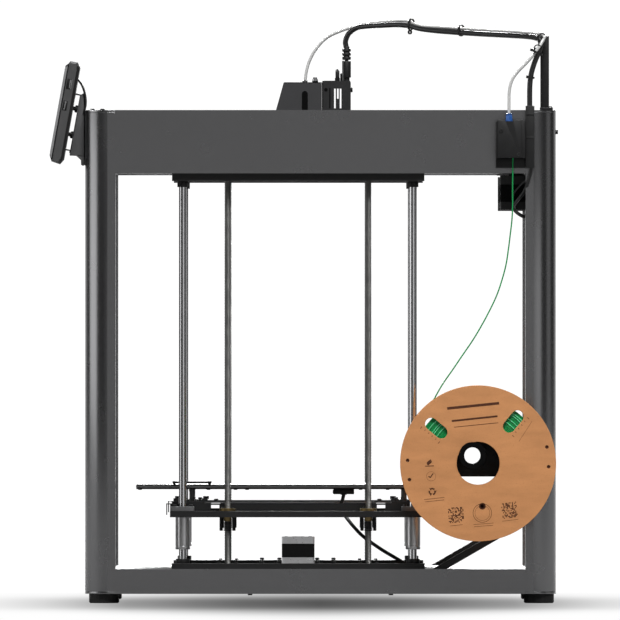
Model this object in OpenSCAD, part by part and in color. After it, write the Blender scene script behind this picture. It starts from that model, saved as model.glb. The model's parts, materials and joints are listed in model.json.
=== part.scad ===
// Large open-frame FDM printer: four posts, a top and a base ring of sheet-metal
// beams, a bed that rides up and down on four rods and four lead screws, and a
// gantry that carries the toolhead. The modules measure from the centre of the
// four posts; the whole is then moved so that the origin is the centre of the
// overall box, on the floor.
// +X is the spool side, -Y is the front (screen side), +Z is up. Millimetres.

/* [Frame] */
// Overall width of the frame, without the spool
frame_w = 580; // [560:1:620]
// Overall depth of the frame
frame_d = 608.4; // [600:0.1:640]
// Height of the top of the beams
frame_h = 637; // [630:1:650]
// Width of a corner post across the printer
post_w = 50; // [46:1:54]
// Depth of a corner post front to back
post_d = 39.4; // [39:0.1:41]
// Radius of a post's rounded outer corner
corner_r = 29; // [20:1:30]
// Thickness of a side beam
beam_t = 40; // [38:1:42]
// Height of the top beams
top_beam_h = 81.8; // [76:0.1:84]
// Top of the base beams
base_top = 44.2; // [44:0.1:46]

/* [Lift] */
// Distance of rods and lead screws from the centre plane
rod_x = 262; // [260:0.5:264]
// Guide rod radius
rod_r = 5; // [4:0.5:5]
// Lead screw radius
screw_r = 4; // [4:0.5:5]
// Depth position of the front guide rods
rod_y0 = -178; // [-180:0.5:-176]
// Depth position of the rear guide rods
rod_y1 = 119.5; // [118:0.5:121]
// Depth position of the front lead screws
screw_y0 = -120.1; // [-122:0.1:-118]
// Depth position of the rear lead screws
screw_y1 = 61.9; // [60:0.1:64]

/* [Bed] */
// Half width of the heated plate
bed_hx = 210; // [205:1:212]
// Front edge of the heated plate
bed_y0 = -238.8; // [-240:0.1:-236]
// Rear edge of the heated plate
bed_y1 = 182; // [180:0.1:184]
// Top of the build sheet
bed_top = 152.9; // [152:0.1:154]

/* [Spool] */
// Spool flange radius
spool_r = 100.5; // [95:0.5:101]
// Spool hole radius
spool_hole_r = 27.75; // [27.75:0.25:29]
// Spool width
spool_w = 66; // [60:1:66]
// Spool axis, front to back
spool_y = 203.2; // [202:0.1:204]
// Spool axis height
spool_z = 181; // [180:0.1:182]

/* [Hidden] */
$fn = 48;
gap = 0.02;            // clearance that keeps neighbouring nodes apart
half_w = frame_w / 2;
half_d = frame_d / 2;
post_y = half_d - post_d;           // inner face of the rear posts
top_beam_z = frame_h - top_beam_h;  // underside of the top beams
base_z = 12;           // underside of the base, on top of the feet
sheet_t = 2;           // sheet metal of beams and base plates
rod_ys = [rod_y0, rod_y1];
screw_ys = [screw_y0, screw_y1];
carrier_top = 51.3;    // top of the lower rod carriers
lift_motor_y = -28.85;
lift_pulley_z = 22.9;
y_motor_x = 218.85;    // also the line of the Y belts
y_motor_y = 253.45;
y_idler_y = -250;
y_pulley_z = 560.9;
x_motor_x = -210.5;
x_idler_x = 222;
x_axis_z = 597;        // height of the X belt's pulleys
x_pulley_y = 24.5;
shaft_r = 2.5;
shaft_hole_r = 2.55;

// ---------- helpers ----------
// Box between two corners
module box(x0, x1, y0, y1, z0, z1) {
  translate([x0, y0, z0]) cube([x1 - x0, y1 - y0, z1 - z0]);
}
// Round bars along Z, Y and X
module bar_z(x, y, z0, z1, r) { translate([x, y, z0]) cylinder(r = r, h = z1 - z0); }
module bar_y(x, z, y0, y1, r) {
  translate([x, y1, z]) rotate([90, 0, 0]) cylinder(r = r, h = y1 - y0);
}
module bar_x(y, z, x0, x1, r) {
  translate([x0, y, z]) rotate([0, 90, 0]) cylinder(r = r, h = x1 - x0);
}
// The shape and its mirror image on the left side
module both() { children(); mirror([1, 0, 0]) children(); }
// The shape and its mirror image front to back
module ends() { children(); mirror([0, 1, 0]) children(); }
// A (Y,Z) outline drawn out along X
module profile_x(points, x0, x1) {
  translate([x0, 0, 0]) rotate([90, 0, 90]) linear_extrude(x1 - x0) polygon(points);
}
// Outline of a loop round pulleys at the corners of a rectangle
module loop2d(x0, x1, y0, y1, r) {
  if (x1 > x0) translate([x0, y0 - r]) square([x1 - x0, y1 - y0 + 2 * r]);
  if (y1 > y0) translate([x0 - r, y0]) square([x1 - x0 + 2 * r, y1 - y0]);
  for (x = x1 > x0 ? [x0, x1] : [x0])
    for (y = y1 > y0 ? [y0, y1] : [y0]) translate([x, y]) circle(r);
}
// Closed belt, 6 wide, seen along its pulleys' axes
module belt_loop(x0, x1, y0, y1) {
  linear_extrude(6) difference() {
    loop2d(x0, x1, y0, y1, 7.5);
    loop2d(x0, x1, y0, y1, 6.1);
  }
}
// Belt pulley standing on its lower flange, axis along Z; hub is the height above the flanges
module pulley(bore, hub) {
  flange_r = 8.2;
  belt_r = 6;
  hub_r = hub > 0 ? 7.5 : flange_r;
  top = 8.9 + max(hub, 0.01);
  rotate_extrude() polygon([[bore, 0], [flange_r, 0], [flange_r, 1], [belt_r, 1],
    [belt_r, 7.9], [flange_r, 7.9], [flange_r, 8.9], [hub_r, 8.9], [hub_r, top], [bore, top]]);
}
// Pulley on a shaft along Z
module pulley_z(x, y, z, hub, shaft_z0, shaft_z1) {
  translate([x, y, z]) pulley(shaft_r + gap, hub);
  bar_z(x, y, shaft_z0, shaft_z1, shaft_r);
}
// Hubless X belt pulley on a shaft along Y
module pulley_y(x, shaft_y1) {
  translate([x, x_pulley_y, x_axis_z]) rotate([-90, 0, 0]) pulley(shaft_r + gap, 0);
  bar_y(x, x_axis_z, x_pulley_y, shaft_y1, shaft_r);
}
// Square stepper motor can, axis along Z, with the shaft's bore
module motor_can(h, bore_z0, bore_z1) {
  half = 21.15;
  half_diag = 26.9;  // trims the corners
  difference() {
    intersection() {
      translate([-half, -half, 0]) cube([2 * half, 2 * half, h]);
      rotate([0, 0, 45]) translate([-half_diag, -half_diag, 0])
        cube([2 * half_diag, 2 * half_diag, h]);
    }
    translate([0, 0, bore_z0]) cylinder(r = shaft_hole_r, h = bore_z1 - bore_z0);
  }
}
// Point at t (0 to 1) on span i of a Catmull-Rom curve through p
function curve_point(p, i, t) =
  let (a = p[max(i - 1, 0)], b = p[i], c = p[i + 1], d = p[min(i + 2, len(p) - 1)])
  0.5 * (2 * b + (c - a) * t + (2 * a - 5 * b + 4 * c - d) * t * t
    + (3 * b - a - 3 * c + d) * t * t * t);
// Smooth path through p, with the given steps per span
function smooth_path(p, steps) =
  [for (i = [0 : len(p) - 2], k = [0 : steps - 1]) curve_point(p, i, k / steps), p[len(p) - 1]];
function unit(v) = v / norm(v);
// Round cable along a smooth path through the points
module cable(points, radius, sides = 8) {
  line = smooth_path(points, 3);
  last = len(line) - 1;
  dirs = [for (i = [0 : last]) unit(line[min(i + 1, last)] - line[max(i - 1, 0)])];
  verts = [for (i = [0 : last])
    let (ref = abs(dirs[i].x) < 0.85 ? [1, 0, 0] : [0, 1, 0],
      u = unit(cross(dirs[i], ref)), v = cross(dirs[i], u))
    for (k = [0 : sides - 1])
      line[i] + radius * (cos(360 * k / sides) * u + sin(360 * k / sides) * v)];
  walls = [for (i = [0 : last - 1], k = [0 : sides - 1])
    let (a = i * sides + k, b = i * sides + (k + 1) % sides) [a, a + sides, b + sides, b]];
  start_cap = [for (k = [0 : sides - 1]) k];
  end_cap = [for (k = [sides - 1 : -1 : 0]) last * sides + k];
  polyhedron(verts, concat([start_cap], walls, [end_cap]), convexity = 6);
}

// ---------- frame ----------
// Post section with its outer corner rounded, shrunk by inset
module post2d(inset) {
  r = corner_r - inset;
  w = post_w - 2 * inset;
  d = post_d - 2 * inset;
  translate([inset, inset]) {
    square([w - r, d]);
    square([w, d - r]);
    translate([w - r, d - r]) intersection() { circle(r, $fn = 64); square(r + 1); }
  }
}
cap_t = 3;  // plates that close a post
module corner_posts() color("#505050") both() ends() translate([half_w - post_w, post_y, 0]) {
  translate([0, 0, base_z + cap_t + gap])
    linear_extrude(frame_h - base_z - 2 * cap_t - 2 * gap)
    difference() { post2d(0); post2d(2.5); }
  for (z = [base_z, frame_h - cap_t]) translate([0, 0, z]) linear_extrude(cap_t) post2d(0);
}
module feet() color("#151515") both() for (y = [-279.6, 282.2]) translate([half_w - 25, y, 0])
  rotate_extrude() polygon([[0, 0], [18, 0], [19.5, 1.5], [19.5, base_z], [0, base_z]]);
// Hollow beams between the posts, along Y and along X
module beam_y(x0, x1, z0, z1) difference() {
  box(x0, x1, -post_y + gap, post_y - gap, z0, z1);
  box(x0 + sheet_t, x1 - sheet_t, -post_y - 1, post_y + 1, z0 + sheet_t, z1 - sheet_t);
}
module beam_x(y0, y1, z0, z1) difference() {
  box(-half_w + post_w + gap, half_w - post_w - gap, y0, y1, z0, z1);
  box(-half_w, half_w, y0 + sheet_t, y1 - sheet_t, z0 + sheet_t, z1 - sheet_t);
}
module top_beams() color("#505050") {
  both() beam_y(half_w - beam_t, half_w, top_beam_z, frame_h);
  ends() beam_x(post_y, half_d, top_beam_z, frame_h);
}
beam_in_x = half_w - beam_t;  // inner face of a side beam
// (X,Z) section of a base side beam, open towards the inside
base_side_section = [[beam_in_x, base_z], [half_w, base_z], [half_w, base_top],
  [beam_in_x, base_top], [beam_in_x, base_top - sheet_t], [half_w - sheet_t, base_top - sheet_t],
  [half_w - sheet_t, base_z + sheet_t], [beam_in_x, base_z + sheet_t]];
module base_beams() color("#505050") {
  both() difference() {
    translate([0, post_y - gap, 0]) rotate([90, 0, 0]) linear_extrude(2 * post_y - 2 * gap)
      polygon(base_side_section);
    for (y = screw_ys) bar_z(rod_x, y, base_top - 4, base_top + 2, 6.5);
    bar_z(rod_x, lift_motor_y, base_top - 4, base_top + 2, 11.5);
  }
  beam_x(-half_d, -post_y, base_z, base_top);
  difference() {
    beam_x(post_y, half_d, base_z, base_top);
    box(-200, -150, half_d - 4, half_d + 1, 16.6, 39.4);  // power inlet opening
  }
}
module base_plates() color("#2a2a2a") {
  x = beam_in_x - 0.1;
  y = post_y - 0.1;
  box(-x, x, -y, y, base_z, base_z + sheet_t);
  difference() {
    box(-x, x, -y, y, base_top - sheet_t, base_top);
    cz_hole = [224.5, 110];  // bed cable passes here
    bar_z(cz_hole.x, cz_hole.y, 30, 60, 10);
  }
}
module rod_and_screw_holes(z0, z1) {
  for (y = rod_ys) bar_z(rod_x, y, z0, z1, rod_r + gap);
  for (y = screw_ys) bar_z(rod_x, y, z0, z1, screw_r + 0.05);
}
module rod_carriers() color("#202020") both() {
  difference() {
    box(rod_x - 18, rod_x + 22, -192.2, 134.8, base_top, carrier_top);
    rod_and_screw_holes(40, 60);
    bar_z(rod_x, lift_motor_y, 40, 60, 12);
  }
  difference() {
    box(rod_x - 18, rod_x + 22, -191.8, 134.2, 545.3, top_beam_z - gap);
    rod_and_screw_holes(540, 560);
  }
  // Collars round the rod ends
  for (y = rod_ys) {
    difference() {
      bar_z(rod_x, y, carrier_top + gap, 57.1, 9.1);
      bar_z(rod_x, y, 51, 58, rod_r + gap);
    }
    difference() {
      bar_z(rod_x, y, 537.5, 545.3 - gap, 7.1);
      bar_z(rod_x, y, 537, 546, rod_r + gap);
    }
  }
}
module guide_rods() color("#b8b8b8") both()
  for (y = rod_ys) bar_z(rod_x, y, base_top + gap, top_beam_z - 0.1, rod_r);
module stepper_motors() color("#2b2b2b") {
  translate([rod_x, lift_motor_y, carrier_top + gap]) motor_can(34.5, -1, 20);
  both() translate([y_motor_x, y_motor_y, 508.3]) motor_can(46.3, 30, 50);
}
// One belt round all four lead screws, and a Y belt on each side
module drive_belts() color("#181818") {
  translate([0, 0, 24]) belt_loop(-rod_x, rod_x, screw_y0, screw_y1);
  both() translate([0, 0, 562]) belt_loop(y_motor_x, y_motor_x, y_idler_y, y_motor_y);
}
module y_rails() color("#a9a9a9") both()
  box(beam_in_x - 8, beam_in_x - gap, -262, 262, 594, 606);
pulley_hole_r = 11.2;  // lets a motor's pulley through its plate
module belt_mounts() color("#2a2a2a") both() {
  difference() {
    box(196, beam_in_x - gap, 231, post_y - 0.1, 554.62, 557.6);
    bar_z(y_motor_x, y_motor_y, 550, 560, pulley_hole_r);
  }
  difference() {
    box(208, 230, -post_y + gap, -241, 557, 575);
    box(207, 231, -post_y + 4, -240, 560, 572);
    bar_z(y_motor_x, y_idler_y, 550, 580, shaft_hole_r);
  }
}

// ---------- electronics in the base ----------
rocker_y = 298;  // pivot of the power rocker
rocker_z = 28;
module power_supply() color("#9a9a9a") {
  box(-200, 15, -90, 25, base_z + sheet_t + gap, 42);
  // Inlet in the rear beam, with the rocker's opening and the socket
  difference() {
    union() {
      box(-199.9, -150.1, 282, half_d, 16.7, 39.3);
      box(-203, -147, half_d + gap, half_d + 1.8, 15, 41);
    }
    box(-171.5, -152.5, 289, half_d + 3, 18.5, 37.5);
    box(-197, -176, 290, half_d + 3, 20, 36);
    bar_x(rocker_y, rocker_z, -173.5, -150.6, 1.55);
  }
}
module mainboard() color("#1d4a2a") difference() {
  union() {
    box(-180, -60, 90, 195, 19, 20.6);
    for (x = [-175, -65], y = [95, 190]) bar_z(x, y, base_z + sheet_t + gap, 19.5, 3);
    for (i = [0 : 4]) box(-165 + 20 * i, -153 + 20 * i, 98, 112, 20, 29);
    box(-150, -110, 130, 160, 20, 32);
    box(-172, -160, 140, 180, 20, 31);
  }
  // Grooves between the fins of the large block
  for (i = [0 : 6]) box(-147 + 5.5 * i, -144.5 + 5.5 * i, 129, 161, 24, 33);
}
// (Y,Z) outline of the rocker
rocker_profile = [[294, 23], [303.4, 20.6], [302, 28], [305.2, 35], [297, 34], [293, 28]];
module power_rocker() color("#8a1d1d") {
  profile_x(rocker_profile, -170.5, -153.5);
  bar_x(rocker_y, rocker_z, -173.3, -150.8, 1.5);
}
// Slanted bars from the base up to the rear posts
module rear_braces() color("#1c1c1c") both() profile_x([[145, base_top + gap],
  [163, base_top + gap], [post_y - gap, 103], [post_y - gap, 113.4]], 262, 282);
module frame_screws() color("#101010") {
  both() {
    for (y = [-294.8, -281.7, 293]) bar_z(262, y, frame_h + gap, frame_h + 1.8, 3);
    for (y = [-91, 91]) bar_z(270, y, 10.2, base_z - gap, 3);
    for (y = [-76.5, -53.7, -4.2, 17.2]) bar_z(262, y, carrier_top + gap, 54.2, 2.75);
    for (y = [-130.6, -109.6, 51.4, 72.4]) bar_z(262, y, carrier_top + gap, 53.1, 2.3);
    bar_y(258, 609, half_d + gap, half_d + 2.8, 3);
  }
  for (x = [-180, 180], z = [575, 617]) bar_y(x, z, -half_d - 2, -half_d - gap, 3);
}

// ---------- screen ----------
screen_tilt = 10.1;
screen_x0 = 186;
screen_x1 = 270;
bracket_x0 = screen_x0 + 14;
bracket_x1 = screen_x1 - 14;
// (Y,Z) outlines: the housing in its own tilted frame, the bracket in the printer's
housing_profile = [[0, 0], [0, 118.1], [5.3, 125.3], [15.1, 124.8], [19.2, 118.8],
  [19.2, -2.1], [15, -8.9], [4.1, -8.9]];
bracket_profile = [[-half_d - gap, 576], [-half_d - gap, 660], [-310.3, 656.7],
  [-324.3, 581.6], [-324.3, 578.4], [-316.2, 578.4]];
bracket_hollow = [[-half_d - 2, 580.5], [-half_d - 2, 655], [-309.1, 652.5],
  [-321.9, 583.5], [-321.9, 580.5]];
module screen_pose() {
  translate([0, -350.3, 578.4]) rotate([-screen_tilt, 0, 0]) children();
}
module screen_housing() color("#2c2c2c") screen_pose() difference() {
  profile_x(housing_profile, screen_x0, screen_x1);
  box(screen_x0 + 4, screen_x1 - 4, -1, 1.3, 4, 114);
  // Two slots in the right edge
  for (z = [[72, 88], [44, 58]]) box(screen_x1 - 8, screen_x1 + 1, 7.5, 13, z[0], z[1]);
}
module screen_glass() color("#0c0e12") screen_pose()
  box(screen_x0 + 4.2, screen_x1 - 4.2, 0.1, 1.28, 4.2, 113.8);
module screen_bracket() color("#6a6a6a") {
  difference() {
    profile_x(bracket_profile, bracket_x0, bracket_x1);
    profile_x(bracket_hollow, bracket_x0 + 2, bracket_x1 - 2);
  }
  box(bracket_x0, bracket_x1, -310, -half_d - 0.3, 564.5, 577.5);
  // Bosses behind the housing
  screen_pose() for (x = [screen_x0 + 26, screen_x1 - 26], z = [31.6, 65.5])
    translate([x, 26.2, z]) rotate([90, 0, 0]) cylinder(r = 4.8, h = 6.95);
}

// ---------- cables, hoses, sensor and spool ----------
// Cable and tube paths are lists of [x, y, z]
umbilical_path = [[8, 33.3, 717.6], [9.5, 35.9, 732.5], [14, 44.8, 742.5], [24, 58.6, 746.4],
  [39, 78.4, 748.4], [56, 98.2, 749.7], [76, 116, 751], [102, 137.8, 744], [154, 181.2, 738],
  [215, 232, 734], [262, 270, 731], [292, 280.5, 727], [297.5, 281.5, 716], [298, 276, 695],
  [297, 271.5, 670], [296.5, 270.3, 642], [296.5, 270.3, 563]];
feed_path = [[-8, -20.2, 674.6], [-8, -20.5, 682.6], [-8, -18, 693.3], [-7.5, -12, 703.5],
  [-7, -0.6, 722.7], [-4, 11.2, 734.6], [1, 25.1, 744.5], [9, 38.9, 751], [44, 85, 756.5],
  [64, 106.2, 758.4], [84, 118, 758], [150, 172, 746.5], [215, 225, 741.5], [262, 258, 738],
  [289, 270, 727], [299, 272, 708], [302, 262, 692], [302.5, 250.4, 678], [302, 244.5, 660],
  [302, 243.4, 645], [302, 243.4, 627]];
motor_cable_path = [[296.5, 270.3, 561.6], [296, 265.5, 549], [291, 260.3, 538],
  [280, 258.3, 529], [262, 252.4, 518.8], [248, 250, 511], [238, 255.5, 502.5],
  [229, 266, 498.5], [222, 285, 497]];
thin_cable_path = [[293.2, 272, 561.4], [292.6, 268, 553.5], [290.5, 262.6, 547.5],
  [280, 258.5, 543.5], [262, 255, 538], [252, 252, 531.5], [243.5, 250, 524], [243.5, 252, 518]];
strand_path = [[306, 248.6, 574.9], [306.5, 248.6, 515], [308, 243.2, 456], [312, 236.4, 424],
  [318, 222.6, 385], [324, 198.6, 342], [329, 173.4, 306], [332, 150.5, 272],
  [333, 132.5, 238], [333, 122.4, 207], [333, 118.8, 184]];
feed_x = 302;         // where the feed tube enters the sensor
feed_y = 243.4;
sensor_top = 624.5;
holder_y = 195.9;     // axis of the spool holder
holder_z = 191;
spool_x = 300;        // inner face of the spool
flange_t = 3;

module cable_tower() color("#1b1b1b") {
  difference() {
    box(268, 284, 284, 295.2, frame_h + gap, 732.5);
    box(270, 285, 286, 293.2, frame_h + 4, 729);
  }
  box(259, 283, 262, 283.98, 700, 703);
}
module umbilical_cable() color("#151515") cable(umbilical_path, 3.4, 10);
module feed_tube() color("#e6e6e2") cable(feed_path, 2);
module sensor_housing() color("#1a1a1a") {
  box(half_w + gap, 300, 226.4, 264.6, 562, 575);
  box(half_w + gap, 313, 226.4, 264.6, 575, sensor_top);
  // Cover plate with a notch and two screw heads
  difference() {
    box(313 + gap, 316.5, 229, 259.7, 575, 624);
    box(310, 318, 240, 247, 620, 625);
  }
  for (p = [[233, 610.3], [255.2, 579.4]]) bar_x(p[0], p[1], 316.5 + gap, 317.3, 2.4);
}
module feed_fitting() color("#1f3f7a") translate([feed_x, feed_y, sensor_top + gap])
  rotate_extrude() polygon([[3.3, 0], [5, 0], [5, 5.5], [3.3, 5.5]]);
module feed_collet() color("#17305f") translate([feed_x, feed_y, 625.7])
  rotate_extrude() polygon([[2.1, 0], [3.22, 0], [3.22, 5.6], [4.3, 5.6], [4.3, 6.8], [2.1, 6.8]]);
module spool_holder() color("#141414") {
  difference() {
    box(half_w + gap, 298, 168, 277, 163.5, 216);
    bar_x(holder_y, holder_z, half_w - 1, 299, 10.5);
  }
  // Hollow arm with a lip at its outer end
  translate([298 + gap, holder_y, holder_z]) rotate([0, 90, 0]) rotate_extrude()
    polygon([[10.5, 0], [15.2, 0], [15.2, 69.6], [17.6, 69.6], [17.6, 72], [10.5, 72]]);
}
module cable_channel() color("#141414") {
  difference() {
    box(half_w + gap, 304, 264.7, 276.3, 562, 642.5);
    box(half_w - 1, 302.2, 266.3, 274.7, 561, 643);
  }
  cable(motor_cable_path, 2.2);
  cable(thin_cable_path, 1.1, 6);
}
module filament_strand() color("#1e8a45") cable(strand_path, 0.875, 6);
// Cutter for a radial slot with round ends, turned about X
module radial_slot(angle) rotate([angle, 0, 0]) {
  translate([-5, 62, -8]) cube([80, 17, 16]);
  for (r = [62, 79]) translate([-5, r, 0]) rotate([0, 90, 0]) cylinder(r = 8, h = 80);
}
module spool() color("#b98253") translate([spool_x, spool_y, spool_z]) {
  difference() {
    union() {
      bar_x(0, 0, 0, flange_t, spool_r, $fn = 96);
      bar_x(0, 0, spool_w - flange_t, spool_w, spool_r, $fn = 96);
      bar_x(0, 0, 0, spool_w, 50);
    }
    bar_x(0, 0, flange_t, spool_w - flange_t, 47);
    bar_x(0, 0, -1, spool_w + 1, spool_hole_r);
    for (angle = [50, 140]) radial_slot(angle);
    for (angle = [177.6, 193.4, 13.3, 357.2])
      rotate([angle, 0, 0]) bar_x(91, 0, -1, spool_w + 1, 2.3);
  }
}
module filament_winding() color("#1e8a45")
  translate([spool_x, spool_y, spool_z]) rotate([0, 90, 0]) rotate_extrude()
  polygon([[50.1, 3.1], [82, 3.1], [82, spool_w - 3.1], [50.1, spool_w - 3.1]]);

// ---------- bed that rides on the rods ----------
shelf_y0 = -194.5;    // side shelves that hold the bearings and nuts
shelf_y1 = 136.4;
shelf_z0 = 116.8;
shelf_z1 = 118.8;
ledge_top = 128.6;    // the crossbars rest here
crossbar_top = 131.4;
plate_z = 146.7;      // underside of the heated plate
plate_top = 151.7;
module bed_frame() color("#1d1d1d") {
  both() {
    difference() {
      union() {
        box(238, 282, shelf_y0, shelf_y1, shelf_z0, shelf_z1);
        box(280, 282, shelf_y0, shelf_y1, 110.9, 117);
        box(238, 240, shelf_y0, shelf_y1, shelf_z0, ledge_top);
        box(226, 240, shelf_y0, shelf_y1, 126.6, ledge_top);
        box(226, 262, -199.4, -194.4, 127.4, ledge_top);
        box(226, 262, -199.4, -198.2, 113.9, ledge_top);
      }
      for (y = rod_ys) bar_z(rod_x, y, 110, 125, 9.6);
      for (y = screw_ys) bar_z(rod_x, y, 110, 125, 5.2);
      box(230, 250, -143.1, -130.8, 119.2, 126.6);
      box(230, 250, 73, 85, 119.2, 126.6);
    }
  }
  for (y = [-189, 92]) box(-240, 240, y, y + 39, ledge_top, crossbar_top);
  both() for (y = [-186.5, -149.6, 95, 128]) bar_z(222, y, crossbar_top + gap, 135.2, 3.8);
}
// Standoffs under the plate, and a tray with four windows between the crossbars
module bed_supports() color("#8d8d8d") {
  both() for (y = [-166.7, 108.6]) bar_z(190, y, crossbar_top + gap, plate_z - gap, 3.6);
  difference() {
    box(-170, 170, -149.9, 91.9, 128.7, 130.4);
    both() for (y = [-120, -10]) box(20, 150, y, y + 85, 128, 131);
  }
}
// Heated plate, with a small raised bar on two blocks at its right edge
module bed_plate() color("#3d3d3d") {
  box(-bed_hx, bed_hx, bed_y0, bed_y1, plate_z, plate_top);
  box(203, 209, -191.5, -140.8, 154.2, 156.4);
  for (y = [-191.5, -146.1]) box(202.5, 209.5, y, y + 5.3, plate_top, 156.7);
}
// Sheet with its rear corners cut off
module build_sheet() color("#222222") difference() {
  box(-200, 200, bed_y0, bed_y1, plate_top + gap, bed_top);
  both() translate([200, bed_y1, 150]) rotate([0, 0, 45]) cube([14, 14, 10], center = true);
}
module bed_bearings() color("#9c9c9c") both() for (y = rod_ys) difference() {
  union() {
    bar_z(rod_x, y, 69.4, shelf_z1 + 1, 9.5);
    box(rod_x - 15, rod_x + 15, y - 15, y + 15, shelf_z1 + gap, 124.8);
  }
  bar_z(rod_x, y, 60, 130, rod_r + 0.05);
}
module lead_nuts() color("#b0893c") both() for (y = screw_ys) {
  difference() {
    union() {
      bar_z(rod_x, y, 105.9, 120, 5.1);
      bar_z(rod_x, y, shelf_z1 + gap, 122.3, 11);
    }
    bar_z(rod_x, y, 100, 130, screw_r + 0.05);
  }
  difference() {
    bar_z(rod_x, y, 93.4, 105.9 - gap, 5.3);
    bar_z(rod_x, y, 90, 110, 4.35);
  }
  for (side = [-1, 1]) bar_z(rod_x, y + 8.2 * side, 93.4, shelf_z0 - gap, 2.45);
}
bed_cable_path = [[186, 29.7, 139.9], [188, 26.7, 128], [195, 27, 119], [205, 32.7, 111.2],
  [211, 43.4, 97.8], [215, 56.7, 84.5], [218, 79, 68.8], [222, 93.8, 59.9],
  [224.5, 107.2, 51.8], [225, 115.5, 46]];
module bed_cable() color("#121212") {
  box(172, 200, 16.7, 44.2, 140, plate_z - gap);
  cable(bed_cable_path, 2.25);
}

// ---------- screws and pulleys; side is 1 for right, -1 for left ----------
module lead_screw(side, y) color("#8a8a88") {
  bar_z(side * rod_x, y, 16, 552, screw_r);
  translate([side * rod_x, y, lift_pulley_z]) pulley(screw_r + gap, 6);
}
module z_pulley() color("#9a9a9a") pulley_z(rod_x, lift_motor_y, lift_pulley_z, 6, 20, 70.8);
module y_pulley(side) color("#9a9a9a")
  pulley_z(side * y_motor_x, y_motor_y, y_pulley_z, 5, 540, 574);
module y_idler(side) color("#9a9a9a")
  pulley_z(side * y_motor_x, y_idler_y, y_pulley_z, 0, 556, 576);

// ---------- gantry ----------
beam_end_x = 232;
x_plate_y = 37.5;  // rear face of the plates that hold the X motor and idler
module gantry_beam() color("#3a3a3a") difference() {
  box(-beam_end_x + gap, beam_end_x - gap, 2, 22, 585, 625);
  box(-beam_end_x - 1, beam_end_x + 1, 4, 20, 587, 623);
}
module gantry_rail() color("#a9a9a9") box(-225, 225, -6, 2 - gap, 599, 611);
module y_carriages() color("#2b2b2b") {
  both() {
    // Block grooved for the Y rail, end plate, and the block on the Y belt
    difference() {
      box(237, 247, -10.7, 34.7, 586.5, 613.5);
      box(241.95, 251, -12, 36, 593.95, 606.05);
    }
    box(beam_end_x, 237 - gap, -26, x_plate_y, 574, 628);
    box(226.5, 237 - gap, -5, 29, 559.5, 575);
  }
  difference() {
    box(-233, -189.4, 34.5, x_plate_y, 576, 618);
    bar_y(x_motor_x, x_axis_z, 30, 40, pulley_hole_r);
  }
  difference() {
    box(212, 233, 34.5, x_plate_y, 585, 609);
    bar_y(x_idler_x, x_axis_z, 30, 40, shaft_hole_r);
  }
}
module x_motor() color("#2b2b2b") translate([x_motor_x, x_plate_y + gap, x_axis_z])
  rotate([-90, 0, 0]) motor_can(24.9, -1, 12);
module x_belt() color("#181818") translate([0, 32, x_axis_z]) rotate([90, 0, 0])
  belt_loop(x_motor_x, x_idler_x, 0, 0);
module x_pulley() color("#9a9a9a") pulley_y(x_motor_x, 49);
module x_idler() color("#9a9a9a") pulley_y(x_idler_x, 37);

// ---------- toolhead ----------
nozzle_y = -30;
fan_z = 612;
gear_y = -33;      // axis of the extruder gear
gear_z = 650;
cover_top = 672.7;
rear_top = 674.8;
// (Y,Z) outlines of the cover, outside and inside
cover_profile = [[-58.4, 635.7], [-47.7, cover_top], [1.7, cover_top], [1.7, 631.3],
  [-14.1, 631.3], [-14.1, 578], [-50, 578], [-58.4, 592]];
cover_hollow = [[-56.4, 635.4], [-46.2, 670.7], [3, 670.7], [3, 577], [-48.8, 577],
  [-56.4, 592.6]];
// [radius, z] of the ribbed sleeve round the umbilical's end
sleeve_profile = [[0, rear_top + gap], [4, rear_top + gap], [4, 679], [5.7, 679],
  [5.7, 700], [2.6, 700], [2.6, 701.6], [5.65, 701.6], [5.65, 705], [3.9, 705],
  [3.9, 706.8], [5.65, 706.8], [5.65, 710.2], [3.9, 710.2], [3.9, 712], [5.65, 712],
  [5.65, 715.4], [3.9, 715.4], [3.9, 717], [0, 717]];
module carriage_plate() color("#4a4a4a") {
  difference() {
    box(-22.7, 22.7, -11, -1, 591.5, 618.5);
    box(-30, 30, -6.05, 0, 598.95, 611.05);
  }
  box(-28, 28, -14, -11 - gap, 575, 631);
  box(-28, 28, -14, 34, 628, 631);
  box(4, 12, 24, 34, 604.7, 629);
}
module toolhead_cover() color("#3c3c3c") difference() {
  profile_x(cover_profile, -32, 32);
  profile_x(cover_hollow, -30, 30);
  bar_y(0, fan_z, -60, -50, 17.5);
  box(-14, -2, -24.2, -16.4, 660, 680);
  box(31, 33, -24.2, -16.4, 634, 661.7);
  // Slots through both sides
  for (i = [0 : 4]) box(-40, 40, -44 + 5 * i, -42 + 5 * i, 584, 604);
}
module toolhead_rear() color("#2a2a2a") {
  difference() {
    box(-30, 30, 1.8, 39.6, 633, rear_top);
    box(-28, 28, 4, 37.6, 632, 672.8);
    // Side slots as [front y, bottom z]
    for (slot = [[17.8, 640], [21.6, 652], [25.2, 640]])
      box(-31, 31, slot[0], slot[0] + 2.1, slot[1], 665);
    box(29, 31, 11.4, 12.9, 640, 665.4);
  }
  translate([8, 34, 0]) rotate_extrude() polygon(sleeve_profile);
  box(-12, -2, 19.5, 24.8, rear_top + gap, 689.8);
  box(-10, -4, 25.7, 28.2, rear_top + gap, 684.5);
  bar_y(-15, 663.5, 39.6 + gap, 42, 3.3);
}
module extruder() color("#5b5b5b") {
  difference() {
    box(-20, 16, -46, -18, 631.2, 668);
    bar_x(gear_y, gear_z, -8, 8, 7);
    box(-8, 8, -47, -33, 645, 655);
    bar_x(gear_y, gear_z, -21, 17, shaft_hole_r);
  }
  // Round motor on the right
  difference() {
    bar_x(gear_y, gear_z, 16 + gap, 29, 17);
    bar_x(gear_y, gear_z, 15, 26, shaft_hole_r);
  }
  bar_z(10, -6.9, cover_top + gap, 678.9, 3.7);
}
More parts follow.
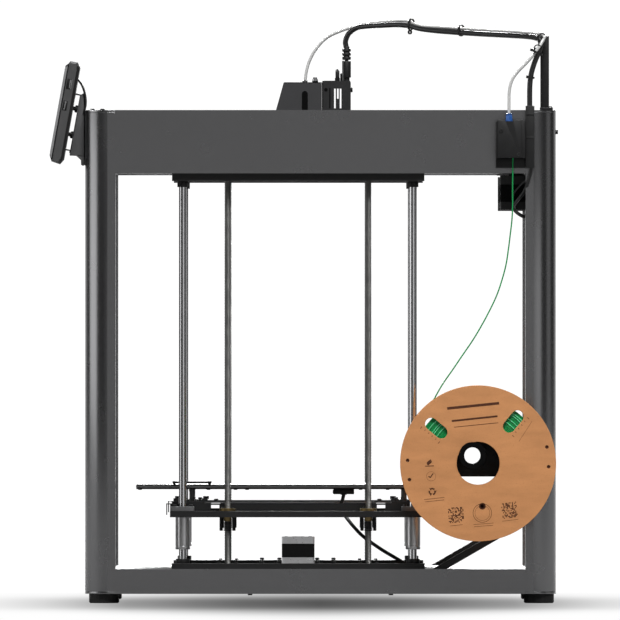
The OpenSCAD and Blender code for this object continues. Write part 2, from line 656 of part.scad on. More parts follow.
module extruder_gear() color("#a08040") {
  difference() {
    bar_x(gear_y, gear_z, -6, 6, 5.6);
    bar_x(gear_y, gear_z, -7, 7, shaft_r + gap);
  }
  bar_x(gear_y, gear_z, -16, 25, shaft_r);
}
// [radius, z] of six cooling fins, from the top down
fin_points = [for (i = [0 : 5], k = [0 : 3])
  [k == 0 || k == 3 ? 6 : 11, 606 - 4.4 * i - (k < 2 ? 0 : 1.8)]];
module hotend() color("#a33c2c") {
  // Heat sink, heater block and nozzle
  translate([0, nozzle_y, 0]) rotate_extrude()
    polygon(concat([[0, 606]], fin_points, [[2.2, 581], [2.2, 572], [0, 572]]));
  box(-10, 10, -40, -20, 560, 572);
  translate([0, nozzle_y, 0]) rotate_extrude()
    polygon([[0, 553.5], [1, 553.5], [3.6, 556.4], [3.6, 560], [0, 560]]);
  // Fan frame, its hub and three spokes
  difference() {
    box(-20, 20, -56, -46.1, 592, 630.9);
    bar_y(0, fan_z, -57, -45, 18.6);
  }
  bar_y(0, fan_z, -48, -46.1, 9);
  for (angle = [90, 210, 330]) translate([0, 0, fan_z]) rotate([0, angle, 0])
    box(8, 18.8, -48, -46.1, -1.2, 1.2);
}
module fan_rotor() color("#191919") {
  bar_y(0, fan_z, -55.2, -48.2, 9);
  for (i = [0 : 6]) translate([0, 0, fan_z]) rotate([0, i * 360 / 7, 0])
    translate([8.5, -51.7, 0]) rotate([38, 0, 0]) box(0, 9.4, -0.6, 0.6, -4.2, 4.2);
}

translate([-40, 21.65, 0]) {
  corner_posts();
  feet();
  top_beams();
  base_beams();
  base_plates();
  rod_carriers();
  guide_rods();
  stepper_motors();
  drive_belts();
  y_rails();
  belt_mounts();
  power_supply();
  mainboard();
  rear_braces();
  frame_screws();
  screen_bracket();
  screen_housing();
  screen_glass();
  cable_tower();
  umbilical_cable();
  feed_tube();
  sensor_housing();
  feed_fitting();
  feed_collet();
  spool_holder();
  cable_channel();
  filament_strand();
  power_rocker();
  spool();
  filament_winding();
  bed_frame();
  bed_supports();
  bed_plate();
  bed_bearings();
  lead_nuts();
  bed_cable();
  build_sheet();
  lead_screw(1, screw_y0);  // lead_screw_front_right
  lead_screw(-1, screw_y0);  // lead_screw_front_left
  lead_screw(1, screw_y1);  // lead_screw_rear_right
  lead_screw(-1, screw_y1);  // lead_screw_rear_left
  z_pulley();
  y_pulley(1);  // y_pulley_right
  y_pulley(-1);  // y_pulley_left
  y_idler(1);  // y_idler_right
  y_idler(-1);  // y_idler_left
  gantry_beam();
  gantry_rail();
  y_carriages();
  x_motor();
  x_belt();
  x_pulley();
  x_idler();
  carriage_plate();
  toolhead_cover();
  toolhead_rear();
  extruder();
  extruder_gear();
  hotend();
  fan_rotor();
}
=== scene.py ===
# A desktop 3D printer: square frame, moving bed on four lead screws, gantry with toolhead,
# tilted screen at the front and a cardboard spool of green filament on the right side.
# +X is the printer's right (the camera looks at that side), -Y its front, +Z up, floor at z = 0.
# The model is measured in millimetres from the middle of the four posts; the stage is in metres.
import bpy
import bmesh
import json
from math import copysign, cos, hypot, pi, radians, sin
from mathutils import Vector, Matrix


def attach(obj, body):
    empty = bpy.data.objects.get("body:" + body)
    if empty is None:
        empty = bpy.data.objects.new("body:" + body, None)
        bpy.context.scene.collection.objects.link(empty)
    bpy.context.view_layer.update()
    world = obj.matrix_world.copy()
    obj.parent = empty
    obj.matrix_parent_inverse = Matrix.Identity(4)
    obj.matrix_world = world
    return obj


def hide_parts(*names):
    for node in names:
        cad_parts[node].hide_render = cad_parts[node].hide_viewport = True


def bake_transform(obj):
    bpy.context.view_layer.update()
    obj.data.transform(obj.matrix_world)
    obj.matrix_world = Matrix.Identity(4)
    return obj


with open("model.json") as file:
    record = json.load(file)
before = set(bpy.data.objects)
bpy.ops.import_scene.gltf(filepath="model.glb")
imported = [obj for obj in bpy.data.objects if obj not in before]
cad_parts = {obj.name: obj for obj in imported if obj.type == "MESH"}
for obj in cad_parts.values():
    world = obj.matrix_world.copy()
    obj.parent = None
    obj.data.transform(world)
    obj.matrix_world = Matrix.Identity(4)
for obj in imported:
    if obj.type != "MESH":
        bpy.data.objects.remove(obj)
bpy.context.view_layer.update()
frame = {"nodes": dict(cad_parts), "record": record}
NODES = frame["nodes"]
MM = 0.001
OFFSET = Vector((-0.040, 0.02165, 0.0))    # from the middle of the posts to the part's origin

LEAD_X = 262.0                # lead screws, bed bearings and lift pulleys stand at +-LEAD_X
LEAD_Y = (-120.1, 61.9)
BEARING_Y = (-178.0, 119.5)
BED_BELT_Z, Y_BELT_Z = 24, 562
Y_MOTOR_X, Y_MOTOR_Y = 218.85, 253.45
SIDE_X = 290.03               # plane on the right that the side fittings stand on
FEED_X, FEED_Y = 302, 243.4   # where the feed tube enters its sensor
HOLDER_Y, HOLDER_Z = 195.9, 191
FAN_Z = 612
HOTEND = (0, -30, 0)          # vertical axis of the hotend


# ---------------------------------------------------------------- shader graphs
def add(tree, kind, inputs=None, **settings):
    """Adds a node; each input gets a value or a link from a socket."""
    new = tree.nodes.new(kind)
    for key, value in settings.items():
        setattr(new, key, value)
    for key, value in (inputs or {}).items():
        if isinstance(value, bpy.types.NodeSocket):
            tree.links.new(value, new.inputs[key])
        else:
            new.inputs[key].default_value = value
    return new


def color_ramp(tree, source, stops):
    """Color ramp from (position, rgba) stops."""
    new = add(tree, "ShaderNodeValToRGB", {"Fac": source})
    elements = new.color_ramp.elements
    while len(elements) < len(stops):
        elements.new(0.5)
    for element, (position, color) in zip(elements, stops):
        element.position = position
        element.color = color
    return new.outputs["Color"]


def material(name, color, metal=0.0, rough=0.5, rough_vary=0.12, vary=0.18, vary_scale=30.0,
             bump=0.15, bump_scale=900.0, bump_depth=0.0001, stretch=(1, 1, 1), wear=0.0,
             wear_grey=0.3, fleck=0.0, fleck_color=(0.5, 0.5, 0.5), fleck_scale=2500.0,
             spec=0.5, coat=0.0, aniso=0.0, subsurface=0.0):
    """Mottled surface with optional flecks, worn edges and fine bumps."""
    made = bpy.data.materials.new(name)
    made.use_nodes = True
    made.diffuse_color = (*color, 1)
    tree = made.node_tree
    tree.nodes.clear()
    coords = add(tree, "ShaderNodeTexCoord").outputs["Object"]
    stretched = add(tree, "ShaderNodeMapping", {"Vector": coords, "Scale": stretch}).outputs[0]

    def noise(scale, detail, vector=stretched):
        inputs = {"Vector": vector, "Scale": scale, "Detail": detail}
        return add(tree, "ShaderNodeTexNoise", inputs).outputs["Fac"]

    def mix(factor, base, over):
        inputs = {0: factor, 6: base, 7: (*over, 1)}
        return add(tree, "ShaderNodeMix", inputs, data_type="RGBA").outputs[2]

    mottle = noise(vary_scale, 5)
    darker = (*(max(0, c * (1 - vary)) for c in color), 1)
    lighter = (*(min(1, c * (1 + vary)) for c in color), 1)
    tint = color_ramp(tree, mottle, ((0.3, darker), (0.7, lighter)))
    if fleck > 0:
        spots = color_ramp(tree, noise(fleck_scale, 1, coords),
                           ((0.62, (0, 0, 0, 1)), (0.74, (fleck, fleck, fleck, 1))))
        tint = mix(spots, tint, fleck_color)
    if wear > 0:    # an edge is where the rounded normal leaves the true one
        rounded = add(tree, "ShaderNodeBevel", {"Radius": 0.0008}, samples=2).outputs[0]
        normal = add(tree, "ShaderNodeNewGeometry").outputs["Normal"]
        agree = add(tree, "ShaderNodeVectorMath", {0: rounded, 1: normal},
                    operation="DOT_PRODUCT").outputs["Value"]
        edge = add(tree, "ShaderNodeMapRange", {"Value": agree, "From Min": 0.99,
                                                "From Max": 0.80, "To Max": wear}).outputs[0]
        worn = add(tree, "ShaderNodeMath", {0: edge, 1: mottle}, operation="MULTIPLY").outputs[0]
        tint = mix(worn, tint, (wear_grey,) * 3)
    gloss = add(tree, "ShaderNodeMapRange", {
        "Value": noise(vary_scale * 3.7, 6), "To Min": max(0.02, rough - rough_vary),
        "To Max": min(1.0, rough + rough_vary)}).outputs[0]
    surface = {"Base Color": tint, "Roughness": gloss, "Metallic": metal,
               "Specular IOR Level": spec, "Coat Weight": coat, "Coat Roughness": 0.08,
               "Anisotropic": aniso}
    if bump > 0:
        surface["Normal"] = add(tree, "ShaderNodeBump", {
            "Height": noise(bump_scale, 3), "Strength": bump, "Distance": bump_depth}).outputs[0]
    if subsurface > 0:
        surface["Subsurface Weight"] = subsurface
        surface["Subsurface Radius"] = (0.004, 0.004, 0.004)
    shader = add(tree, "ShaderNodeBsdfPrincipled", surface).outputs[0]
    add(tree, "ShaderNodeOutputMaterial", {0: shader})
    return made


# ---------------------------------------------------------------- materials
PAINT = material("frame_paint", (0.195, 0.195, 0.199), metal=1.0, rough=0.27, rough_vary=0.012,
                 vary=0.012, vary_scale=9, bump=0.14, bump_scale=1500, bump_depth=0.00004,
                 wear=0.25, wear_grey=0.42, fleck=0.10, fleck_color=(0.27, 0.27, 0.275),
                 fleck_scale=2600)
BLACK_METAL = material("black_metal", (0.0075, 0.0075, 0.0078), rough=0.42, vary=0.15,
                       vary_scale=20, bump=0.2, bump_scale=1400, wear=0.5, wear_grey=0.09,
                       spec=0.3, fleck=0.15, fleck_color=(0.03, 0.03, 0.03))
BLACK_PLASTIC = material("black_plastic", (0.0075, 0.0075, 0.0078), vary=0.12, vary_scale=24,
                         bump=0.3, bump_scale=2200, bump_depth=0.00006, wear=0.4,
                         wear_grey=0.05, spec=0.3)
COVER = material("cover_plastic", (0.034, 0.034, 0.0355), rough=0.58, vary=0.06, vary_scale=22,
                 bump=0.25, bump_scale=2200, bump_depth=0.00006, wear=0.3, wear_grey=0.09,
                 spec=0.16)
REAR = material("toolhead_rear_plastic", (0.013, 0.013, 0.0135), rough=0.45, vary=0.1,
                vary_scale=22, bump=0.25, bump_scale=2200, wear=0.4, wear_grey=0.07, spec=0.35)
SCREEN = material("screen_plastic", (0.088, 0.088, 0.089), metal=0.6, rough=0.40, vary=0.1,
                  vary_scale=22, bump=0.2, bump_scale=2200, wear=0.5, wear_grey=0.10, spec=0.35)
BEZEL = material("bezel_plastic", (0.17, 0.17, 0.172), metal=0.4, rough=0.36, vary=0.08,
                 vary_scale=22, bump=0.12, bump_scale=2000, wear=0.4, wear_grey=0.16)
RUBBER = material("rubber", (0.007, 0.007, 0.007), rough=0.7, spec=0.3, vary=0.25,
                  vary_scale=35, bump=0.3, bump_scale=700)
JACKET = material("cable_jacket", (0.009, 0.009, 0.0094), rough=0.38, vary=0.15, vary_scale=60,
                  bump=0.35, bump_scale=1300, bump_depth=0.00012)
ROD_STEEL = material("rod_steel", (0.50, 0.50, 0.51), metal=1.0, rough=0.14, rough_vary=0.05,
                     vary=0.05, vary_scale=14, bump=0.08, bump_scale=300, stretch=(1, 1, 12),
                     aniso=0.3)
SCREW_STEEL = material("screw_steel", (0.125, 0.124, 0.120), metal=0.5, vary=0.25,
                       vary_scale=90, bump=0.1, bump_scale=800)
STEEL = material("light_steel", (0.42, 0.42, 0.425), metal=1.0, rough=0.34, rough_vary=0.1,
                 vary=0.10, vary_scale=40, bump=0.12, stretch=(8, 8, 1), wear=0.5,
                 wear_grey=0.8)
ALUMINIUM = material("aluminium", (0.50, 0.50, 0.51), metal=1.0, rough=0.36, rough_vary=0.1,
                     vary=0.07, vary_scale=60, bump_scale=1200, wear=0.5, wear_grey=0.85)
BRASS = material("brass", (0.17, 0.125, 0.055), metal=1.0, rough=0.42, vary=0.12,
                 vary_scale=50, bump=0.1)
GLASS = material("screen_glass", (0.006, 0.007, 0.009), rough=0.06, rough_vary=0.02, vary=0.1,
                 vary_scale=5, bump=0.0, coat=1.0)
GREY_METAL = material("grey_metal", (0.060, 0.060, 0.062), metal=0.3, rough=0.42, vary=0.08,
                      vary_scale=20, bump=0.22, bump_scale=1500, wear=0.45, fleck=0.3,
                      fleck_color=(0.24, 0.24, 0.24))
LIGHT_GREY = material("light_grey_plate", (0.46, 0.46, 0.465), metal=0.35, rough=0.4,
                      vary=0.08, vary_scale=20, bump_scale=1200)
BOARD = material("board", (0.012, 0.075, 0.03), rough=0.35, vary=0.35, vary_scale=260,
                 bump=0.3, bump_scale=600, coat=0.4)
TUBE = material("tube", (0.45, 0.45, 0.445), rough=0.25, vary=0.04, vary_scale=40, bump=0.08,
                bump_scale=500, subsurface=0.15, coat=0.3)
BLUE = material("fitting_blue", (0.018, 0.075, 0.26), rough=0.25, vary=0.1, vary_scale=60,
                bump=0.1, bump_scale=1500, coat=0.3)
GREEN = material("filament", (0.006, 0.235, 0.060), rough=0.22, rough_vary=0.08, vary=0.12,
                 vary_scale=50, bump=0.06, bump_scale=500, coat=0.5)
SHEET = material("build_sheet", (0.017, 0.017, 0.018), rough=0.55, vary=0.15, vary_scale=60,
                 bump=0.6, bump_scale=1600, bump_depth=0.00012, fleck=0.5,
                 fleck_color=(0.09, 0.09, 0.09), fleck_scale=3200)
# lighter green for strands that paint a highlight on the winding
GREEN_HIGHLIGHT = material("filament_painted_highlight", (0.10, 0.52, 0.24), rough=0.3, rough_vary=0.08,
                       vary=0.3, vary_scale=60, bump=0.06, bump_scale=500, coat=0.4)
RED = material("switch_red", (0.32, 0.012, 0.012), rough=0.3, vary=0.08, vary_scale=50,
               bump=0.06, coat=0.3)
CARD = material("cardboard", (0.458, 0.208, 0.083), rough=0.86, rough_vary=0.06, vary=0.09,
                vary_scale=26, bump=0.55, bump_scale=420, bump_depth=0.00014,
                stretch=(1, 1, 3.2), fleck=0.5, fleck_color=(0.30, 0.135, 0.05),
                fleck_scale=900, spec=0.25)
CARD_EDGE = material("cardboard_edge", (0.36, 0.19, 0.085), rough=0.9, vary=0.25,
                     vary_scale=180, bump=0.6, spec=0.2)
INK = material("print_ink", (0.065, 0.022, 0.010), rough=0.8, vary=0.25, vary_scale=160,
               bump=0.2, bump_scale=600, spec=0.2)
MOTOR_SILVER = material("motor_silver", (0.56, 0.56, 0.57), metal=1.0, rough=0.3,
                        rough_vary=0.1, vary=0.07, vary_scale=70, bump_scale=1400, wear=0.4,
                        wear_grey=0.9)
MOTOR_STACK = material("motor_stack", (0.0012, 0.0012, 0.0013), rough=0.7, spec=0.12, vary=0.2,
                       vary_scale=60, bump=0.5, bump_scale=1800, stretch=(1, 1, 30))
HOLDER = material("holder_plastic", (0.0035, 0.0035, 0.0036), rough=0.55, vary=0.12,
                  vary_scale=24, bump=0.3, bump_scale=2200, bump_depth=0.00006, spec=0.25)
DULL_STEEL = material("dull_steel", (0.10, 0.10, 0.10), metal=0.7, rough=0.42, vary=0.12,
                      vary_scale=60, bump=0.2, bump_scale=1200)
# near-black for painted shade over openings, gaps and inside the spool's hole
RECESS_SHADE = material("painted_recess_shade", (0.0010, 0.0010, 0.0011), rough=0.85, spec=0.08, vary=0.1,
                  vary_scale=40, bump=0.3)
FLANGE_STEEL = material("bearing_flange_steel", (0.115, 0.115, 0.117), metal=0.55, rough=0.42,
                        vary=0.12, vary_scale=60, bump=0.2, bump_scale=1200, wear=0.3,
                        wear_grey=0.25)
# lighter bezel grey, for the painted highlight strip on the screen's right edge and for the port
# frames
BEZEL_EDGE = material("bezel_edge", (0.235, 0.235, 0.238), metal=0.35, rough=0.38, vary=0.08,
                      vary_scale=22, bump=0.12, bump_scale=2000, wear=0.3)
SILICONE = material("silicone", (0.10, 0.10, 0.105), rough=0.65, vary=0.1, vary_scale=50,
                    bump=0.2)

SLOT_MATERIALS = {
    "frame_paint": PAINT, "black_metal": BLACK_METAL, "black_plastic": BLACK_PLASTIC,
    "cover_plastic": COVER, "rubber": RUBBER, "rod_steel": ROD_STEEL,
    "screw_steel": SCREW_STEEL, "light_steel": STEEL, "aluminium": ALUMINIUM, "brass": BRASS,
    "glass": GLASS, "grey_metal": GREY_METAL, "board": BOARD, "tube": TUBE,
    "fitting_blue": BLUE, "filament": GREEN, "cardboard": CARD, "sheet": SHEET,
    "switch_red": RED}


def dress_cad_pieces():
    for subpart in frame["record"]["subparts"]:
        piece = NODES.get(subpart["node"])
        if piece is None:
            continue
        piece.data.materials.clear()
        piece.data.materials.append(SLOT_MATERIALS.get(subpart["material_slot"], BLACK_PLASTIC))
    NODES["toolhead_rear"].data.materials[0] = REAR
    NODES["screen_housing"].data.materials[0] = SCREEN


# ---------------------------------------------------------------- outlines and paths
def circle(cx, cy, radius, count):
    angles = [2 * pi * k / count for k in range(count)]
    return [(cx + radius * cos(a), cy + radius * sin(a)) for a in angles]


def arc(cx, cy, radius, start, sweep, steps):
    """Arc with both ends, angles in degrees."""
    angles = [radians(start + sweep * k / steps) for k in range(steps + 1)]
    return [(cx + radius * cos(a), cy + radius * sin(a)) for a in angles]


def rounded_rect(x0, x1, y0, y1, radius, low_radius=None, steps=6):
    """Rectangle with rounded corners; the two at y0 may have their own radius."""
    low = radius if low_radius is None else low_radius
    return (arc(x1 - radius, y1 - radius, radius, 0, 90, steps)
            + arc(x0 + radius, y1 - radius, radius, 90, 90, steps)
            + arc(x0 + low, y0 + low, low, 180, 90, steps)
            + arc(x1 - low, y0 + low, low, 270, 90, steps))


def smooth_path(points, steps):
    """Catmull-Rom curve through the points, a number of steps to each span."""
    points = [Vector(p) for p in points]
    last = len(points) - 1
    path = []
    for i in range(last):
        before, start, end = points[max(i - 1, 0)], points[i], points[i + 1]
        after = points[min(i + 2, last)]
        for k in range(steps):
            t = k / steps
            path.append(0.5 * (2 * start + (end - before) * t
                               + (2 * before - 5 * start + 4 * end - after) * t * t
                               + (3 * start - before - 3 * end + after) * t ** 3))
    path.append(points[-1])
    return path


# ---------------------------------------------------------------- mesh builder
# Each matrix turns local (u, v, height) so that height runs along the named axis.
AXIS = {"x": Matrix(((0, 0, 1), (1, 0, 0), (0, 1, 0))),
        "y": Matrix(((0, 1, 0), (0, 0, 1), (1, 0, 0))),
        "z": Matrix.Identity(3)}
HEXAHEDRON = ((0, 1, 3, 2), (4, 6, 7, 5), (0, 4, 5, 1), (2, 3, 7, 6), (0, 2, 6, 4), (1, 5, 7, 3))


class Shape:
    """Collects closed solids, in millimetres, into one mesh."""

    def __init__(self, placement=Matrix.Identity(4)):
        self.mesh = bmesh.new()
        self.placement = placement

    def vert(self, point):
        return self.mesh.verts.new(self.placement @ Vector(point))

    def bevel(self, faces, width, segments=2):
        if width > 0:
            edges = list({edge for face in faces for edge in face.edges})
            bmesh.ops.bevel(self.mesh, geom=edges, offset=width, segments=segments,
                            affect="EDGES", profile=0.5)

    def hexahedron(self, corners):
        verts = [self.vert(p) for p in corners]
        return [self.mesh.faces.new([verts[i] for i in face]) for face in HEXAHEDRON]

    def box(self, x0, x1, y0, y1, z0, z1, bevel=0.0, segments=2):
        corners = [(x, y, z) for x in (x0, x1) for y in (y0, y1) for z in (z0, z1)]
        self.bevel(self.hexahedron(corners), bevel, segments)

    def rings(self, rings, loop=False):
        """Skin over rings of equal length; the ends are capped, or joined when loop is set."""
        rows = [[self.vert(p) for p in ring] for ring in rings]
        count = len(rows[0])
        faces = []
        for i in range(len(rows) if loop else len(rows) - 1):
            a, b = rows[i], rows[(i + 1) % len(rows)]
            for k in range(count):
                j = (k + 1) % count
                faces.append(self.mesh.faces.new((a[k], a[j], b[j], b[k])))
        if not loop:
            faces.append(self.mesh.faces.new(rows[0][::-1]))
            faces.append(self.mesh.faces.new(rows[-1]))
        return faces

    def revolve(self, profile, axis="z", at=(0, 0, 0), sides=32, solid=False):
        """Turns (radius, height) points; solid caps the ends, else the profile is closed."""
        at = Vector(at)
        self.rings([[at + AXIS[axis] @ Vector((u, v, height))
                     for u, v in circle(0, 0, max(radius, 1e-4), sides)]
                    for radius, height in profile], loop=not solid)

    def cylinder(self, axis, at, start, end, radius, sides=32, chamfer=0.0):
        profile = [(radius, start), (radius, end)]
        if chamfer > 0:
            profile = [(radius - chamfer, start), (radius, start + chamfer),
                       (radius, end - chamfer), (radius - chamfer, end)]
        self.revolve(profile, axis, at, sides, solid=True)

    def extrude(self, outline, start, end, bevel=0.0, axis="x"):
        """Extrudes a (Y, Z) outline along X, or an (X, Y) outline along Z."""
        faces = self.rings([[AXIS[axis] @ Vector((u, v, height)) for u, v in outline]
                            for height in (start, end)])
        self.bevel(faces, bevel)

    def tube(self, path, radius, sides=10, loop=False):
        path = [Vector(p) for p in path]
        count = len(path)
        rings = []
        across = None
        for i in range(count):
            if loop:
                along = (path[(i + 1) % count] - path[i - 1]).normalized()
            else:
                along = (path[min(i + 1, count - 1)] - path[max(i - 1, 0)]).normalized()
            if across is None:
                side = Vector((1, 0, 0)) if abs(along.x) < 0.8 else Vector((0, 1, 0))
                across = along.cross(side).normalized()
            else:
                across = (across - along * across.dot(along)).normalized()
            up = along.cross(across)
            rings.append([path[i] + radius * (u * across + v * up)
                          for u, v in circle(0, 0, 1, sides)])
        self.rings(rings, loop=loop)

    def screw(self, axis, at, radius, height, sign=1):
        """Cap screw head standing on a point, with a hexagon socket in its top."""
        sides, sixth = 20, pi / 3
        chamfer = 0.12 * radius
        socket = radius * 0.52
        at = Vector(at)
        rings = []
        for size, level, hexagon in (
                (radius * 0.98, 0, False), (radius, 0.1 * height, False),
                (radius, height - chamfer, False), (radius - chamfer, height, False),
                (socket * 1.08, height, True), (socket, height * 0.35, True)):
            ring = []
            for k in range(sides):
                a = 2 * pi * k / sides
                r = size * cos(sixth / 2) / cos((a % sixth) - sixth / 2) if hexagon else size
                ring.append(at + AXIS[axis] @ Vector((r * cos(a), r * sin(a), sign * level)))
            rings.append(ring[::sign])
        self.rings(rings)

    def holed_plate(self, outlines, x0, x1, centre=(0, 0)):
        """Plate across X from (Y, Z) outlines about a centre: the rim first, then the holes."""
        flat = bmesh.new()
        edges = []
        for outline in outlines:
            verts = [flat.verts.new((0, y, z)) for y, z in outline]
            edges += [flat.edges.new((verts[k], verts[(k + 1) % len(verts)]))
                      for k in range(len(verts))]
        bmesh.ops.triangle_fill(flat, edges=edges, use_beauty=True, use_dissolve=False)
        flat.verts.index_update()
        points = [(centre[0] + v.co.y, centre[1] + v.co.z) for v in flat.verts]
        triangles = [[v.index for v in f.verts] for f in flat.faces]
        flat.free()
        low = [self.vert((x0, y, z)) for y, z in points]
        high = [self.vert((x1, y, z)) for y, z in points]
        for triangle in triangles:
            self.mesh.faces.new([low[i] for i in reversed(triangle)])
            self.mesh.faces.new([high[i] for i in triangle])
        first = 0
        for outline in outlines:
            count = len(outline)
            for k in range(count):
                a, b = first + k, first + (k + 1) % count
                self.mesh.faces.new((low[a], low[b], high[b], high[a]))
            first += count

    def band(self, at, axis, first, second, radii, width, thickness, count):
        """Flat band round an axis; radii lie along the first and second directions."""
        edge = axis * width / 2
        rings = []
        for k in range(count):
            a = 2 * pi * k / count
            inner, outer = (at + cos(a) * first * (radii[0] + t) + sin(a) * second * (radii[1] + t)
                            for t in (0, thickness))
            rings.append([inner - edge, outer - edge, outer + edge, inner + edge])
        self.rings(rings, loop=True)

    def build(self, name, surface, body, slot, replaces=None, smooth=38, bevel=0.0, weld=True):
        """Makes the object; body is what it rides on, replaces the CAD piece it stands for."""
        mesh = self.mesh
        if weld:
            bmesh.ops.remove_doubles(mesh, verts=mesh.verts, dist=1e-5)
        bmesh.ops.dissolve_degenerate(mesh, dist=1e-5, edges=mesh.edges)
        bmesh.ops.recalc_face_normals(mesh, faces=mesh.faces)
        bmesh.ops.scale(mesh, vec=(MM, MM, MM), verts=mesh.verts)
        bmesh.ops.translate(mesh, vec=OFFSET, verts=mesh.verts)
        data = bpy.data.meshes.new(name)
        mesh.to_mesh(data)
        mesh.free()
        made = bpy.data.objects.new(name, data)
        bpy.context.scene.collection.objects.link(made)
        data.polygons.foreach_set("use_smooth", [True] * len(data.polygons))
        data.set_sharp_from_angle(angle=radians(smooth))
        data.materials.append(surface)
        if bevel > 0:
            add_bevel(made, bevel, 35).harden_normals = True
        if body:
            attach(made, body)
        if replaces:
            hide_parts(replaces)
        return made


def add_bevel(target, width, angle):
    modifier = target.modifiers.new("bevel", "BEVEL")
    modifier.width = width * MM
    modifier.segments = 2
    modifier.limit_method = "ANGLE"
    modifier.angle_limit = radians(angle)
    return modifier


def soften(names, width):
    """Small rounded edges on CAD parts that stay."""
    for name in names:
        NODES[name].modifiers.new("weld", "WELD").merge_threshold = 0.00002
        add_bevel(NODES[name], width, 40).use_clamp_overlap = True


# ---------------------------------------------------------------- spool
SPOOL = (300.0, 203.2, 181.0)       # inner (-X) end of the spool's axis
SPOOL_X, SPOOL_Y, SPOOL_Z = SPOOL
SPOOL_WIDTH = 66.0
FLANGE_SKIN, FLANGE_THICK = 0.15, 2.8
SLOT_ANGLES = (50, 140)


def polar(radius, angle, offset=0.0):
    """(Y, Z) about the spool's axis: out along the angle in degrees, then sideways."""
    c, s = cos(radians(angle)), sin(radians(angle))
    return (radius * c - offset * s, radius * s + offset * c)


SPOOL_RIM_HOLES = [polar(91, angle) for angle in (177.6, 193.4, 13.3, 357.2)]


def spool_circle(x, radius, count):
    return [(x, y, z) for y, z in circle(SPOOL_Y, SPOOL_Z, radius, count)]


def build_spool():
    slot = arc(79, 0, 8, -90, 180, 8) + arc(62, 0, 8, 90, 180, 8)
    outlines = [circle(0, 0, 100.5, 120), circle(0, 0, 27.75, 56)]
    outlines += [[polar(u, angle, v) for u, v in slot] for angle in SLOT_ANGLES]
    outlines += [circle(y, z, 2.3, 14) for y, z in SPOOL_RIM_HOLES]
    outer = SPOOL_X + SPOOL_WIDTH - FLANGE_SKIN - FLANGE_THICK
    for side, x, replaced in (("outer", outer, "spool"), ("inner", SPOOL_X + FLANGE_SKIN, None)):
        part = Shape()
        part.holed_plate(outlines, x, x + FLANGE_THICK, (SPOOL_Y, SPOOL_Z))
        part.build("spool_flange_" + side, CARD, "spool", "cardboard", replaced, smooth=30,
                   bevel=0.35)
    part = Shape()
    part.revolve([(47.2, 3), (50, 3), (50, 63), (47.2, 63)], "x", SPOOL, 96)
    part.build("spool_core", CARD_EDGE, "spool", "cardboard")
    part = Shape()      # rolled edge of the hub hole, both flanges
    for x in (SPOOL_X + SPOOL_WIDTH - 0.55, SPOOL_X + 0.55):
        part.tube(spool_circle(x, 28.5, 64), 0.5, 8, loop=True)
    part.build("spool_hole_lip", CARD, "spool", "cardboard")
    # dark discs set inside the rim holes of both flanges: painted shade in the holes
    part = Shape()
    for y, z in SPOOL_RIM_HOLES:
        for start, end in ((1.0, 1.8), (63.6, 64.6)):
            part.cylinder("x", (SPOOL_X, SPOOL_Y + y, SPOOL_Z + z), start, end, 2.25, 16)
    part.build("spool_hole_shade", INK, "spool", "cardboard")


# Marks printed on the outer flange; places are (Y, Z) about the spool's axis.
def ink_bar(part, y0, z0, y1, z1, width):
    start, end = (Vector((SPOOL_X + 65.86, SPOOL_Y + y, SPOOL_Z + z))
                  for y, z in ((y0, z0), (y1, z1)))
    along = (end - start).normalized()
    side = Vector((0, -along.z, along.y)) * width / 2
    foot = [start + side, start - side, end - side, end + side]
    part.rings([foot, [p + Vector((0.06, 0, 0)) for p in foot]])


def ink_ring(part, cy, cz, radius, width, count=28):
    points = circle(cy, cz, radius, count)
    for a, b in zip(points, points[1:] + points[:1]):
        ink_bar(part, *a, *b, width)


def ink_speckled_square(part, cy, cz, seed, tilt):
    half, count = 10.0, 14
    cell = 2.0 * half / count
    c, s = cos(radians(tilt)), sin(radians(tilt))
    for i in range(count):
        for j in range(count):
            seed = (seed * 1103515245 + 12345) % 2147483648
            if (seed >> 16) % 100 < 52:
                u, v = -half + cell * (i + 0.5), -half + cell * (j + 0.5)
                y, z = cy + u * c - v * s, cz + u * s + v * c
                dy, dz = cell * 0.46 * c, cell * 0.46 * s
                ink_bar(part, y - dy, z - dz, y + dy, z + dz, cell * 0.92)


# y0, z0, y1, z1, width
INK_LINES = (
    (-69.5, -46.6, -43.5, -43.8, 0.55), (-68, -49.6, -43.8, -47.0, 0.55),
    (-36, -80.6, -20, -78.9, 0.5), (-6, -78.9, 20, -76.8, 0.5), (-5, -81.6, 19, -79.8, 0.5),
    (31, -74.6, 52, -72.0, 0.5), (-40, 70.8, 27, 77.6, 3.4), (-34, 54.6, 25, 60.8, 2.4),
    (-31, 46.6, 26, 52.4, 0.8), (52.5, 28, 69.5, 54.5, 0.35))


